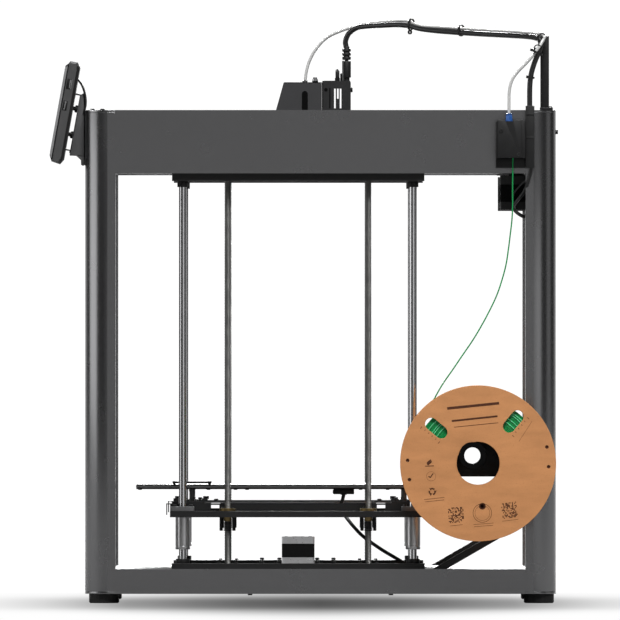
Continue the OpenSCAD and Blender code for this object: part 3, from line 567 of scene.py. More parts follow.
def build_spool_print():
    part = Shape()
    for angle, side in zip(SLOT_ANGLES, (-1, 1)):    # level ticks beside the slots
        for i in range(6):
            radius = 56 + i * 6.0
            far = 13.6 if i % 5 == 0 else 12.2
            ink_bar(part, *polar(radius, angle, side * 10.2), *polar(radius, angle, side * far),
                    0.7)
    ink_speckled_square(part, -28.5, -66.5, seed=7, tilt=4)
    ink_speckled_square(part, 40.3, -60.4, seed=91, tilt=8)
    ink_ring(part, 5.4, -64, 12, 0.6)
    ink_ring(part, 5.4, -64, 9.6, 0.35)
    for y, z in circle(5.4, -55.2, 4.4, 14):
        ink_bar(part, y, z, 5.4, -55.2, 1.6)
    for k in range(7):    # leaf
        t = k / 6.0
        half = 3.2 * sin(pi * min(0.98, 0.12 + 0.86 * t))
        y, z = -64.2 + 2.6 * t, -2.0 + 6.5 * t
        ink_bar(part, y - half, z, y + half, z + 0.6, 1.0)
    ink_bar(part, -68.5, -3.6, -57, -3.2, 1.1)
    ink_ring(part, -60.6, -16.6, 6.0, 0.3, 24)    # tick in a ring
    ink_bar(part, -64.0, -16.4, -61.8, -18.4, 1.3)
    ink_bar(part, -61.9, -18.6, -58.0, -12.8, 1.3)
    for turn in (90, 210, 330):    # three bent arrows
        points = [(-59.2 + 3.9 * cos(radians(turn + a)), -36.3 + 3.9 * sin(radians(turn + a)))
                  for a in (-46, -20, 6, 34)]
        for a, b in zip(points, points[1:]):
            ink_bar(part, *a, *b, 2.1)
        y, z = points[-1]
        tip = radians(turn + 120)
        ink_bar(part, y, z, y + 0.9 * cos(tip), z + 0.9 * sin(tip), 3.6)
    for line in INK_LINES:
        ink_bar(part, *line)
    part.build("spool_print", INK, "spool", "cardboard", weld=False)


# ---------------------------------------------------------------- filament
STRAND_RADIUS, STRAND_PITCH = 0.9, 1.78
# painted highlight arcs on the winding: radius, start and end angle in degrees
HIGHLIGHT_ARCS = (
    (64.0, 30, 70), (69.3, 35, 68), (75.6, 38, 66), (78.4, 30, 70), (63.4, 118, 158),
    (68.4, 124, 160), (71.0, 120, 156), (77.0, 124, 158))
# x, y, z down the right side of the frame to the spool
STRAND_PATH = (
    (306, 248.4, 577), (306, 248.2, 560), (306.3, 248.0, 534), (306.5, 248.0, 513),
    (307, 247.0, 494), (308, 244.8, 475), (309, 242.4, 456), (311, 239.4, 437),
    (313, 234.2, 417.4), (315.5, 227.6, 398), (318, 218.6, 378.7), (321, 208.2, 359.3),
    (324, 196.6, 339.9), (327, 183.4, 320.6), (329.5, 170.2, 301.2), (331.5, 156.8, 281.8),
    (332.5, 144, 259), (333, 132.5, 236), (333, 122.6, 207), (333, 119.0, 184))


def build_filament():
    part = Shape()
    low, high = 51.0, 82
    for x in (SPOOL_X + 63.0 - 2 * STRAND_RADIUS, SPOOL_X + 3.0 + 2 * STRAND_RADIUS):
        for i in range(int((high - low) / STRAND_PITCH) + 1):
            part.tube(spool_circle(x, low + i * STRAND_PITCH, 96), STRAND_RADIUS, 7, loop=True)
    turns = int(56 / STRAND_PITCH)
    for i in range(turns + 1):
        x = SPOOL_X + 4.9 + i * (56.2 / turns)
        part.tube(spool_circle(x, 81.75 + 0.25 * sin(i * 2.1), 96), STRAND_RADIUS, 7, loop=True)
    part.revolve([(50.3, 4.5), (81.1, 4.5), (81.1, 61.4), (50.3, 61.4)], "x", SPOOL, 96)
    part.build("winding_strands", GREEN, "spool", "filament", "filament_winding", weld=False)
    part = Shape()      # lighter green strands: painted highlight on the winding
    for radius, start, end in HIGHLIGHT_ARCS:
        points = arc(SPOOL_Y, SPOOL_Z, radius, start, end - start, 14)
        part.tube([(SPOOL_X + 62.35, y, z) for y, z in points], 0.62, 8)
    part.build("winding_painted_highlight", GREEN_HIGHLIGHT, "spool", "filament", weld=False)
    part = Shape()
    part.tube(smooth_path(STRAND_PATH, 5), STRAND_RADIUS, 8)
    part.build("loose_strand", GREEN, "frame", "filament", "filament_strand")


# ---------------------------------------------------------------- cables and tubes
# x, y, z from the toolhead over the top and down the right side
UMBILICAL_PATH = (
    (8, 34.0, 712), (8.0, 33.6, 720), (8.5, 32.6, 728), (10.5, 35.6, 736.4),
    (14.5, 40.5, 741.6), (20, 47.8, 746.0), (28, 57.8, 747.6), (37, 68.8, 748.3),
    (47, 80.3, 748.7), (57, 91.8, 749.2), (67, 102, 749.2), (80, 116.5, 747.6),
    (93, 130, 743.8), (120, 154, 740.6), (154, 181.2, 738.2), (190, 211, 736),
    (228, 242, 734), (262, 268, 732.0), (286, 281.5, 728.6), (295.5, 284.3, 721.5),
    (297.8, 281.6, 711), (298, 277.8, 702), (297.8, 274.3, 692), (297.4, 271.8, 682),
    (297, 270.4, 670), (296.5, 270.1, 656), (296.5, 270.1, 640), (296.5, 270.1, 600))
FEED_TUBE_PATH = (
    (-8, -20.1, 668), (-8, -19.9, 675), (-8, -19.3, 681.5), (-8, -18.4, 688),
    (-8, -17.0, 694.6), (-8, -15.2, 700.4), (-7.8, -13.0, 705.6), (-7.5, -9.8, 712.0),
    (-7, -6.2, 717.7), (-6.4, -1.6, 723.6), (-5.4, 3.4, 729.0), (-4, 10, 734.1),
    (-2, 17.6, 738.2), (2, 28.6, 742.6), (7, 39.9, 746.2), (14, 50, 749.6), (24, 62, 751.6),
    (38, 78, 753.0), (52, 93, 754.2), (62, 104, 754.6), (72, 113.5, 753.8),
    (82, 121.5, 750.6), (96, 132.5, 747.6), (122, 156, 745.6), (158, 184, 743.4),
    (196, 214, 741.2), (232, 243, 739.2), (262, 266, 737.4), (284, 284, 735.2),
    (293.5, 289.2, 731.8), (299.6, 286.8, 726), (302.4, 282.6, 719.2),
    (303.6, 277.2, 711.4), (303.8, 271.3, 703.8), (303.4, 263.4, 695.2),
    (302.9, 254.8, 686.4), (302.5, 248.4, 677.6), (302.2, 245, 668.6), (302, 243.6, 658.5),
    (302, 243.4, 648), (302, 243.4, 626.5))
# indices into a path: where the head part, the gantry part and the frame part take over
UMBILICAL_SPLIT = (3, 12, 18)
FEED_TUBE_SPLIT = (4, 22, 28)
BED_CABLE_PATH = (
    (186, 30.5, 141.5), (187, 28.8, 134), (188, 26.9, 127), (195, 27.6, 119),
    (205, 32.7, 111.2), (211, 43.4, 97.8), (215, 56.7, 84.5), (218, 79, 68.8),
    (222, 93.8, 59.9), (224.5, 107.2, 51.8), (225, 113.5, 46.5), (225, 115.8, 40))


def blend_to_gantry(piece, path, split):
    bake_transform(piece)


def blend_to_frame(piece, path, split):
    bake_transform(piece)


def build_hose(name, points, split, radius, surface, slot, replaced):
    """Hose in three lengths: from the head, across the gantry, and fixed to the frame."""
    steps = 5
    path = smooth_path(points, steps)
    gantry, fixed = split[1] * steps, split[2] * steps
    pieces = []
    for tag, length, body in (("_head", path[:gantry + 1], None),
                              ("_mid", path[gantry:fixed + 1], None),
                              ("_tail", path[fixed:], "frame")):
        part = Shape()
        part.tube(length, radius, 14)
        pieces.append(part.build(name + tag, surface, body, slot))
    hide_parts(replaced)
    blend_to_gantry(pieces[0], points, split)
    blend_to_frame(pieces[1], points, split)


def build_bed_cable():
    part = Shape()
    part.tube(smooth_path(BED_CABLE_PATH, 8), 2.3, 12)
    cable = part.build("bed_cable_run", JACKET, None, "rubber", "bed_cable")
    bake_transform(cable)
    part = Shape()
    part.box(172, 200, 16.7, 43.6, 140.2, 146.6, 0.6)
    part.box(181, 191, 26, 34, 139.4, 140.6, 0.3)
    for k in range(6):
        part.box(174 + 4.1 * k, 176.2 + 4.1 * k, 15.9, 17.2, 141.2, 145.6, 0.2)
    part.build("bed_connector", BLACK_PLASTIC, "bed", "black_plastic")


# ---------------------------------------------------------------- bed lift
def lead_thread(part, x, y):
    """Four-start thread, 8 mm lead."""
    sides, start, end = 20, 40.0, 551.4
    count = int((end - start) / 0.5)
    rings = []
    for i in range(count + 1):
        z = start + (end - start) * i / count
        ring = []
        for k in range(sides):
            turn = 2 * pi * k / sides
            phase = (4 * (z / 8.0 - turn / (2 * pi))) % 1.0
            depth = min(1.0, max(0.0, (abs(phase - 0.5) * 2 - 0.30) / 0.40))
            radius = 3.98 - 0.72 * depth
            ring.append((x + radius * cos(turn), y + radius * sin(turn), z))
        rings.append(ring)
    part.rings(rings)


def belt_pulley(part, x, y, z):
    """20-tooth pulley: two flanges, toothed seat and hub."""
    sides = 80
    seat = [5.98 - (0.62 if k % 4 < 2 else 0.0) for k in range(sides)]
    # radius at each side, height
    stations = [(2.6, 0), (8.0, 0), (8.2, 0.2), (8.2, 0.8), (8.0, 1.0), (seat, 1.0),
                (seat, 7.9), (8.0, 7.9), (8.2, 8.1), (8.2, 8.7), (8.0, 8.9), (7.5, 8.9),
                (7.5, 14.5), (7.1, 14.9), (2.6, 14.9)]
    rings = []
    for radius, height in stations:
        radii = radius if radius is seat else [radius] * sides
        rings.append([(x + r * cos(2 * pi * k / sides), y + r * sin(2 * pi * k / sides),
                       z + height) for k, r in enumerate(radii)])
    part.rings(rings, loop=True)


def build_lead_screws():
    for y_name, y in zip(("front", "rear"), LEAD_Y):
        for x_name, x in (("right", LEAD_X), ("left", -LEAD_X)):
            place = f"screw_{y_name}_{x_name}"
            part = Shape()
            lead_thread(part, x, y)
            part.build("thread_" + place, SCREW_STEEL, place, "screw_steel", "lead_" + place,
                       smooth=50, weld=False)
            part = Shape()
            part.cylinder("z", (x, y, 0), 16, 40.2, 3.9, 24, 0.5)
            part.build("journal_" + place, STEEL, place, "screw_steel")
            part = Shape()
            belt_pulley(part, x, y, 22.9)
            part.build("pulley_" + place, ALUMINIUM, place, "aluminium")


def build_nuts():
    nuts, coils, screws = Shape(), Shape(), Shape()
    nut_profile = [(4.1, 105.9), (4.9, 105.9), (5.1, 106.2), (5.1, 118.83), (10.7, 118.83),
                   (11, 119.1), (11, 122.0), (10.7, 122.3), (5.6, 122.3), (5.2, 121.6),
                   (4.1, 121.6)]
    washer = [(4.35, 93.4), (5.3, 93.4), (5.3, 94.3), (4.35, 94.3)]
    turns, steps = 6.5, 130
    for x in (-LEAD_X, LEAD_X):
        for y in LEAD_Y:
            nuts.revolve(nut_profile, "z", (x, y, 0), 40)
            coils.tube([(x + 4.85 * cos(2 * pi * turns * i / steps),
                         y + 4.85 * sin(2 * pi * turns * i / steps),
                         94.2 + 11.0 * i / steps) for i in range(steps + 1)], 0.55, 8)
            coils.revolve(washer, "z", (x, y, 0), 24)
            for u, v in arc(x, y, 8.0, 45, 270, 3):
                screws.screw("z", (u, v, 122.35), 1.7, 1.5)
            for side in (-1, 1):    # ridged shanks below the flange
                rings = []
                for i in range(int((116.7 - 93.4) / 0.4) + 1):
                    radius = 1.9 if i == 0 else (2.4 if i % 2 == 0 else 2.12)
                    rings.append([(u, v, 93.4 + 0.4 * i)
                                  for u, v in circle(x, y + 8.2 * side, radius, 14)])
                screws.rings(rings)
    nuts.build("brass_nuts", BRASS, "bed", "brass", "lead_nuts")
    coils.build("nut_coils", BLACK_METAL, "bed", "black_metal", weld=False)
    screws.build("nut_screws", BLACK_METAL, "bed", "black_metal", weld=False)


def flange_ring(x, y, z, half, corner=3.0, count=48):
    """Square ring with rounded corners, started at 45 degrees."""
    ring = []
    for k in range(count):
        a = 2 * pi * k / count + pi / 4
        reach = half / max(abs(cos(a)), abs(sin(a)))
        u, v = cos(a) * reach, sin(a) * reach
        straight = half - corner
        if abs(u) > straight and abs(v) > straight:
            du, dv = abs(u) - straight, abs(v) - straight
            length = hypot(du, dv)
            u = copysign(straight + du / length * corner, u)
            v = copysign(straight + dv / length * corner, v)
        ring.append((x + u, y + v, z))
    return ring


def build_bearings():
    bodies, seals, flanges, screws = Shape(), Shape(), Shape(), Shape()
    body_profile = [(8.3, 69.6), (9.2, 69.4), (9.5, 69.8), (9.5, 73.0), (9.25, 73.2),
                    (9.25, 74.2), (9.5, 74.4), (9.5, 112.8), (9.25, 113.0), (9.25, 114.0),
                    (9.5, 114.2), (9.5, 118.79), (8.3, 118.79)]
    low, high, chamfer = 118.84, 124.8, 0.3
    for x in (-LEAD_X, LEAD_X):
        for y in BEARING_Y:
            bodies.revolve(body_profile, "z", (x, y, 0), 48)
            for z in (69.9, 122.6):
                seals.revolve([(5.06, z), (8.28, z), (8.28, z + 1.7), (5.06, z + 1.7)], "z",
                              (x, y, 0), 40)
            rings = [flange_ring(x, y, z, half) for z, half in (
                (low, 15 - chamfer), (low + chamfer, 15), (high - chamfer, 15),
                (high, 15 - chamfer))]
            angles = [2 * pi * k / 48 + pi / 4 for k in range(48)]
            rings += [[(x + 8.32 * cos(a), y + 8.32 * sin(a), z) for a in angles]
                      for z in (high, low)]
            flanges.rings(rings, loop=True)
            for dx in (-10.5, 10.5):
                for dy in (-10.5, 10.5):
                    screws.screw("z", (x + dx, y + dy, 124.82), 2.6, 2.6)
    bodies.build("bearing_bodies", STEEL, "bed", "light_steel", "bed_bearings")
    flanges.build("bearing_flanges", FLANGE_STEEL, "bed", "light_steel")
    seals.build("bearing_seals", RUBBER, "bed", "rubber")
    screws.build("bearing_screws", BLACK_METAL, "bed", "black_metal", weld=False)


# ---------------------------------------------------------------- motors
def motor(caps, stack, screws, axis, at, length):
    """Square stepper: end caps with cut corners, laminated middle, four screws, boss."""
    at = Vector(at)
    half, laminations = 21.15, 9

    def outline(height, r, cut):
        e = r - cut
        points = [(r, e), (e, r), (-e, r), (-r, e), (-r, -e), (-e, -r), (e, -r), (r, -e)]
        return [at + AXIS[axis] @ Vector((u, v, height)) for u, v in points]

    def block(part, start, end, r=half, cut=1.4, chamfer=0.2):
        part.rings([outline(start, r - chamfer, cut), outline(start + chamfer, r, cut),
                    outline(end - chamfer, r, cut), outline(end, r - chamfer, cut)])

    start, end = length * 0.23, length * 0.74
    block(caps, 0, start)
    block(caps, end, length)
    for i in range(laminations):
        low = start + (end - start) * i / laminations
        high = start + (end - start) * (i + 0.93) / laminations
        block(stack, low + 0.02, high, half - 0.02, 1.6, 0.06)
    stack.rings([outline(start, half - 0.25, 1.8), outline(end, half - 0.25, 1.8)])
    for u in (-15.5, 15.5):
        for v in (-15.5, 15.5):
            screws.screw(axis, at + AXIS[axis] @ Vector((u, v, length)), 2.0, 0.5)
    caps.cylinder(axis, at, length - 0.1, length + 0.4, 8, 40, 0.2)


def build_motor_group(name, axis, places, length, surface, body, slot, replaced=None, boss=None):
    caps, stack, screws = Shape(), Shape(), Shape()
    for at in places:
        motor(caps, stack, screws, axis, at, length)
        if boss:
            caps.cylinder("z", (at[0], at[1], 0), *boss, 11, 40)
    caps.build(name + "_caps", surface, body, slot, replaced)
    stack.build(name + "_stack", MOTOR_STACK, body, "black_metal")
    screws.build(name + "_screws", STEEL, body, "light_steel", weld=False)


def build_motors():
    build_motor_group("z_motor", "z", [(LEAD_X, -28.85, 51.32)], 34.4, MOTOR_SILVER, "frame",
                      "aluminium", "stepper_motors")
    build_motor_group("y_motor", "z", [(x, Y_MOTOR_Y, 508.3) for x in (-Y_MOTOR_X, Y_MOTOR_X)],
                      44.2, BLACK_METAL, "frame", "black_metal", boss=(552, 554.5))
    part = Shape()
    part.box(237.6, 241.0, -37, -21, 53.5, 60.5, 0.5)
    for k in range(4):
        part.cylinder("x", (0, -34 + 3.6 * k, 57), 235.6, 238.0, 0.8, 10)
    part.build("motor_plugs", BLACK_PLASTIC, "frame", "black_plastic", weld=False)
    build_motor_group("x_motor", "y", [(-210.5, 37.6, 597)], 24.6, MOTOR_SILVER, "gantry",
                      "aluminium", "x_motor")


# ---------------------------------------------------------------- bed
# name, (x half, y0, y1, corner radius), z0, z1, bevel, material, body, slot, CAD piece
BED_LAYERS = (
    ("heated_plate", (210, -238.8, 182, 6), 148.9, 150.75, 0.12, DULL_STEEL, "bed",
     "aluminium", "bed_plate"),
    ("magnet_sheet", (209.8, -238.6, 181.8, 6), 150.78, 151.7, 0.1, RUBBER, "bed",
     "rubber", None),
    ("heater_pad", (208.5, -238.4, 181.6, 5), 146.75, 148.85, 0.2, RUBBER, "bed",
     "rubber", None),
    ("flex_sheet", (199.6, -238.6, 181.8, 6), 151.75, 152.85, 0.15, SHEET, "sheet",
     "sheet", "build_sheet"))
# x0, x1, y0, y1
SUPPORT_BARS = (
    (-170, 170, -149.9, -122), (-170, 170, 62, 91.9), (-170, -150, -122, 62),
    (150, 170, -122, 62), (-18, 18, -122, 62), (-150, -18, -38, -12), (18, 150, -38, -12))


def build_bed_layer(name, rectangle, z0, z1, bevel, surface, body, slot, replaced):
    half, y0, y1, corner = rectangle
    part = Shape()
    part.extrude(rounded_rect(-half, half, y0, y1, corner), z0, z1, bevel, "z")
    if name == "heater_pad":    # studs and a raised panel underneath
        for y in (-233.6, -145, -110, -95, 52, 87, 140):
            for x in (-196, 196):
                part.cylinder("z", (x, y, 0), 145.75, 146.9, 2.4, 20, 0.4)
        part.box(-120, 120, -178, 122, 146.4, 147.0, 0.2)
    part.build(name, surface, body, slot, replaced)


def build_wiper():
    """Ribbed bar on two end blocks with a screw each."""
    part = Shape()
    for y in (-191.5, -146.1):
        part.box(202.6, 209.4, y, y + 5.3, 154.0, 157.2, 0.6)
        part.cylinder("z", (206, y + 2.65, 0), 151.71, 154.6, 1.6, 16)
        part.screw("z", (206, y + 2.65, 156.6), 1.9, 0.2)
    part.box(203.2, 208.9, -188, -144.5, 154.3, 156.6, 0.3)
    for i in range(27):
        part.box(203.6, 208.4, -186.2 + 1.5 * i, -185.3 + 1.5 * i, 156.4, 156.9, 0.1)
    part.build("wiper_strip", HOLDER, "bed", "black_plastic", weld=False)


def build_bed_support():
    part = Shape()
    profile = [(1.6, 131.45), (3.6, 131.45), (3.6, 134), (3.1, 134.4), (3.1, 143.8),
               (3.6, 144.2), (3.6, 146.6), (1.6, 146.6)]
    for x in (-190, 190):
        for y in (-166.7, 108.6):
            part.revolve(profile, "z", (x, y, 0), 24)
            for dy in (-9.5, 9.5):
                part.screw("z", (x, y + dy, 131.45), 2.6, 2.4)
    part.build("bed_standoffs", DULL_STEEL, "bed", "grey_metal", "bed_supports", weld=False)
    part = Shape()
    for bar in SUPPORT_BARS:
        part.box(*bar, 128.75, 130.35, 0.25)
    for x in (-160, -85, 0, 85, 160):
        for y in (-136, 77):
            part.screw("z", (x, y, 130.3), 2.7, 1.8)
    part.build("support_plate", LIGHT_GREY, "bed", "grey_metal", weld=False)


def build_bed():
    for layer in BED_LAYERS[:3]:
        build_bed_layer(*layer)
    build_wiper()
    build_bed_layer(*BED_LAYERS[3])
    build_bed_support()


# ---------------------------------------------------------------- screen
# In the tilted frame y = 0 is about the glass, +y is behind it, and z runs up its face.
SCREEN_TILT = Matrix.Translation((0, -350.3, 578.4)) @ Matrix.Rotation(radians(-10.1), 4, "X")
SCREEN_X0, SCREEN_X1 = 186.0, 270.0
SCREEN_MID_Z = 58
# y, z
SCREEN_BACK = ((3.4, -6.9), (15.0, -8.8), (19.15, -2.1), (19.15, 118.8), (15.1, 124.7),
               (5.6, 124.9), (3.4, 121.5))
SCREEN_FRONT = ((0.15, 0.2), (3.2, -5.6), (3.2, 121.0), (0.15, 117.9))


def back_section(x, front_in, rear_in, height_in):
    """Outline of the back shell at x, drawn in at the front, rear and top and bottom."""
    ring = []
    for y, z in SCREEN_BACK:
        t = (y - 3.4) / 15.75
        ring.append((x, y + front_in * (1 - t) - rear_in * t,
                     SCREEN_MID_Z + (z - SCREEN_MID_Z) * (1 - height_in / 66.0)))
    return ring


def build_screen():
    x0, x1 = SCREEN_X0, SCREEN_X1
    part = Shape(SCREEN_TILT)
    part.rings([back_section(x0, 1.4, 4.2, 2.6), back_section(x0 + 0.5, 1.0, 3.8, 2.2),
                back_section(x0 + 4.2, 0, 0, 0), back_section(x1 - 4.2, 0, 0, 0),
                back_section(x1 - 0.5, 1.0, 3.8, 2.2), back_section(x1, 1.4, 4.2, 2.6)])
    part.build("screen_back", SCREEN, "frame", "black_plastic", "screen_housing", smooth=20)
    part = Shape(SCREEN_TILT)
    part.rings([[(x, y, SCREEN_MID_Z + (z - SCREEN_MID_Z) * scale) for y, z in SCREEN_FRONT]
                for x, scale in ((x0 + 3.4, 0.95), (x0 + 0.6, 0.995), (x0 + 0.3, 1.0),
                                 (x1 - 0.3, 1.0), (x1 - 0.6, 0.995), (x1 - 3.4, 0.95))])
    part.build("screen_bezel", BEZEL, "frame", "black_plastic", smooth=20)
    part = Shape(SCREEN_TILT)
    part.box(x0 + 4, x1 - 4, -0.12, 0.6, 4, 114, 0.25)
    part.build("screen_cover_glass", GLASS, "frame", "glass", "screen_glass")
    part = Shape(SCREEN_TILT)      # lighter strip at the front of the right edge: painted highlight
    part.extrude([(0.1, 2.4), (3.0, -3.6), (3.0, 118.6), (0.1, 115.4)], x1 - 0.5, x1 + 0.12)
    part.build("screen_edge_highlight", BEZEL_EDGE, "frame", "black_plastic", smooth=20)
    # dark band at the rear of the right edge: painted shade on the rear chamfer
    part = Shape(SCREEN_TILT)
    part.extrude([(15.4, -4.6), (18.2, -0.4), (18.6, 118.2), (15.4, 120.4)],
                 x1 - 4.6, x1 - 0.28)
    part.build("screen_rear_shade", HOLDER, "frame", "black_plastic", smooth=20)
    part = Shape(SCREEN_TILT)
    for z, height in ((88.5, 13.5), (60.5, 13.0)):
        part.box(x1 - 0.3, x1 + 0.08, 5.6, 11.4, z, z + height, 0.1)
    part.build("screen_port_shadow", HOLDER, "frame", "black_plastic")
    part = Shape(SCREEN_TILT)
    for y0, y1, z0, z1 in ((8.0, 8.9, 62.5, 72), (7.2, 9.6, 71, 72.2), (7.0, 8.9, 62.0, 62.7),
                           (9.4, 10.4, 90, 101), (11.4, 12.1, 89, 101.5)):
        part.box(x1 - 0.2, x1 + 0.16, y0, y1, z0, z1, 0.05)
    part.build("screen_port_frames", BEZEL_EDGE, "frame", "light_steel", weld=False)


def build_screen_bracket():
    x0, x1 = SCREEN_X0 + 14, SCREEN_X1 - 14
    sheet = 1.8
    part = Shape()
    for x in (x0, x1 - sheet):    # side cheeks
        part.extrude([(-304.25, 576), (-304.25, 660), (-310.3, 656.7), (-324.3, 581.6),
                      (-324.3, 578.4), (-316.2, 578.4)], x, x + sheet, 0.3)
    part.box(x0, x1, -306.1, -304.24, 566, 660, 0.3)
    part.placement = SCREEN_TILT
    part.box(x0, x1, 25.0, 26.6, 8, 84, 0.3)
    part.box(x0 + 4, x0 + 16, 23.9, 26.4, 8, 12, 0.3)
    part.box(x0, x1, 19.3, 26.2, 83.2, 85.2, 0.2)
    part.box(x0, x1, 19.3, 25.4, 10.4, 12.2, 0.2)
    part.placement = Matrix.Identity(4)
    for x in (x0, x1 - sheet):    # hooks
        part.extrude([(-304.4, 577), (-304.4, 569), (-307.0, 564.9), (-309.6, 566.4),
                      (-309.6, 572.5), (-315.5, 577.6), (-312, 579)], x, x + sheet, 0.2)
    part.build("screen_bracket_sheet", GREY_METAL, "frame", "grey_metal", "screen_bracket",
               weld=False)
    part = Shape(SCREEN_TILT)
    for x in (x0 + 12, x1 - 12):
        for z in (31.6, 65.5):
            part.revolve([(0, 19.1), (2.0, 19.1), (2.6, 20.2), (2.6, 21.4), (4.7, 22.0),
                          (4.7, 24.4), (4.3, 25.1), (0, 25.1)], "y", (x, 0, z), 28, solid=True)
    part.build("screen_studs", HOLDER, "frame", "black_plastic")
    part = Shape()
    part.tube(smooth_path([
        (256, -316.5, 679.5), (257, -313.2, 676.2), (258, -308.6, 669.8), (258.5, -305.4, 661.5),
        (258.5, -303.6, 652), (258, -303.6, 644), (257, -304.9, 637.5), (256, -306.2, 632)],
        8), 1.5, 10)
    part.build("screen_lead", JACKET, "frame", "rubber")


# ---------------------------------------------------------------- fittings on the right side
def build_sensor():
    part = Shape()
    part.box(SIDE_X, 299.9, 226.5, 264.5, 562.2, 575.2, 0.6)
    part.extrude([(226.5, 575), (264.5, 575), (264.5, 619.6), (261.4, 624.4), (251.5, 624.4),
                  (250.4, 621.8), (236.6, 621.8), (235.6, 624.4), (229.5, 624.4),
                  (226.5, 621.2)], SIDE_X, 312.9, 0.6)
    part.build("sensor_body", BLACK_PLASTIC, "frame", "black_plastic", "sensor_housing")
    part = Shape()
    part.extrude([(229.1, 575.2), (259.6, 575.2), (259.6, 623.8), (249.2, 623.8),
                  (248.4, 620.4), (239.4, 620.4), (238.6, 623.8), (229.1, 623.8)],
                 313.05, 316.4, 0.5)
    part.build("sensor_lid", BLACK_PLASTIC, "frame", "black_plastic")
    part = Shape()
    for y, z in ((233, 610.3), (255.2, 579.4)):
        part.screw("x", (316.35, y, z), 2.5, 0.95)
    part.build("sensor_screws", BLACK_METAL, "frame", "black_metal", weld=False)
    part = Shape()
    part.revolve([(2.15, 624.6), (3.2, 624.6), (3.2, 630.9), (4.3, 631.2), (4.3, 632.3),
                  (3.8, 632.5), (2.15, 632.5)], "z", (FEED_X, FEED_Y, 0), 32)
    part.build("collet_ring", BLUE, "collet", "fitting_blue", "feed_collet")
    part = Shape()
    part.revolve([(3.3, 624.55), (4.7, 624.55), (4.7, 629.2), (4.3, 630.0), (3.3, 630.0)],
                 "z", (FEED_X, FEED_Y, 0), 6)
    part.revolve([(3.3, 621.9), (5.0, 621.9), (5.0, 624.7), (3.3, 624.7)],
                 "z", (FEED_X, FEED_Y, 0), 28)
    part.build("fitting_body", BLUE, "frame", "fitting_blue", "feed_fitting", bevel=0.2)


# x, y, z down the channel and across to the motors; then the same for the thin lead
MOTOR_LEAD = (
    (296.5, 270.3, 600), (296.5, 271, 575), (296, 271.9, 560.8), (293.5, 268.5, 546),
    (283, 263.8, 533), (266, 256.4, 522.5), (250, 250.4, 514.5), (241, 251.5, 507.5),
    (232, 257.5, 502.2), (226, 266, 498.4), (221, 277, 496.8), (214, 290, 500),
    (206, 298, 512))
THIN_LEAD = (
    (293.4, 272.4, 600), (293.2, 272.4, 561.4), (291, 270, 552), (270, 259.5, 541),
    (253, 251.5, 532), (244.5, 249.6, 524.5), (241.0, 250.4, 518.5), (240.2, 251.5, 516))


def build_channel():
    part = Shape()
    part.extrude([(290.05, 264.8), (304, 264.8), (304, 276.2), (290.05, 276.2),
                  (290.05, 274.6), (302.3, 274.6), (302.3, 266.4), (290.05, 266.4)],
                 562.1, 642.4, 0.35, "z")
    for z in (600, 630):
        part.box(303.6, 304.4, 265.4, 275.6, z, z + 2.4, 0.2)
    part.build("channel_shell", BLACK_PLASTIC, "frame", "black_plastic", "cable_channel",
               weld=False)
    part = Shape()
    part.tube(smooth_path(MOTOR_LEAD, 8), 2.3, 12)
    part.tube(smooth_path(THIN_LEAD, 8), 1.15, 8)
    part.build("motor_leads", JACKET, "frame", "rubber")


def build_spool_holder():
    part = Shape()
    for rim, radius, x0, x1 in (
            (rounded_rect(168.2, 276.8, 163.6, 215.9, 2.5), 10.55, SIDE_X, 297.9),
            (rounded_rect(176, 216, 171.5, 210.5, 3), 15.3, 297.8, 299.2)):
        part.holed_plate([rim, circle(HOLDER_Y, HOLDER_Z, radius, 40)], x0, x1)
    part.build("holder_plate", REAR, "frame", "black_plastic", "spool_holder", weld=False,
               bevel=0.5)
    part = Shape()
    for y in (225, 262):
        part.screw("x", (297.95, y, 190), 3.2, 1.6)
    part.build("holder_screws", BLACK_METAL, "frame", "black_metal", weld=False)
    # holder tube in the near-black shade material: painted shade inside the spool's hole
    part = Shape()
    part.revolve([(10.6, 298.1), (15.15, 298.1), (15.15, 367.4), (15.9, 367.7), (17.3, 368.0),
                  (17.6, 368.6), (17.6, 369.4), (17.1, 370.0), (11.6, 370.0), (10.6, 369.2)],
                 "x", (0, HOLDER_Y, HOLDER_Z), 64)
    part.build("holder_tube", RECESS_SHADE, "frame", "black_plastic")


def cable_tie(part, at, along, radius, thickness):
    """Round band with its square lock on the outside."""
    at, along = Vector(at), Vector(along).normalized()
    across = along.cross(Vector((0, 0, 1))).normalized()
    down = along.cross(across)
    part.band(at, along, across, down, (radius, radius), 2.6, thickness, 28)
    lock = at - down * (radius + thickness * 0.6)
    part.hexahedron([lock + across * a + down * b + along * c
                     for a in (-1.7, 1.7) for b in (-1.6, 1.0) for c in (-1.8, 1.8)])


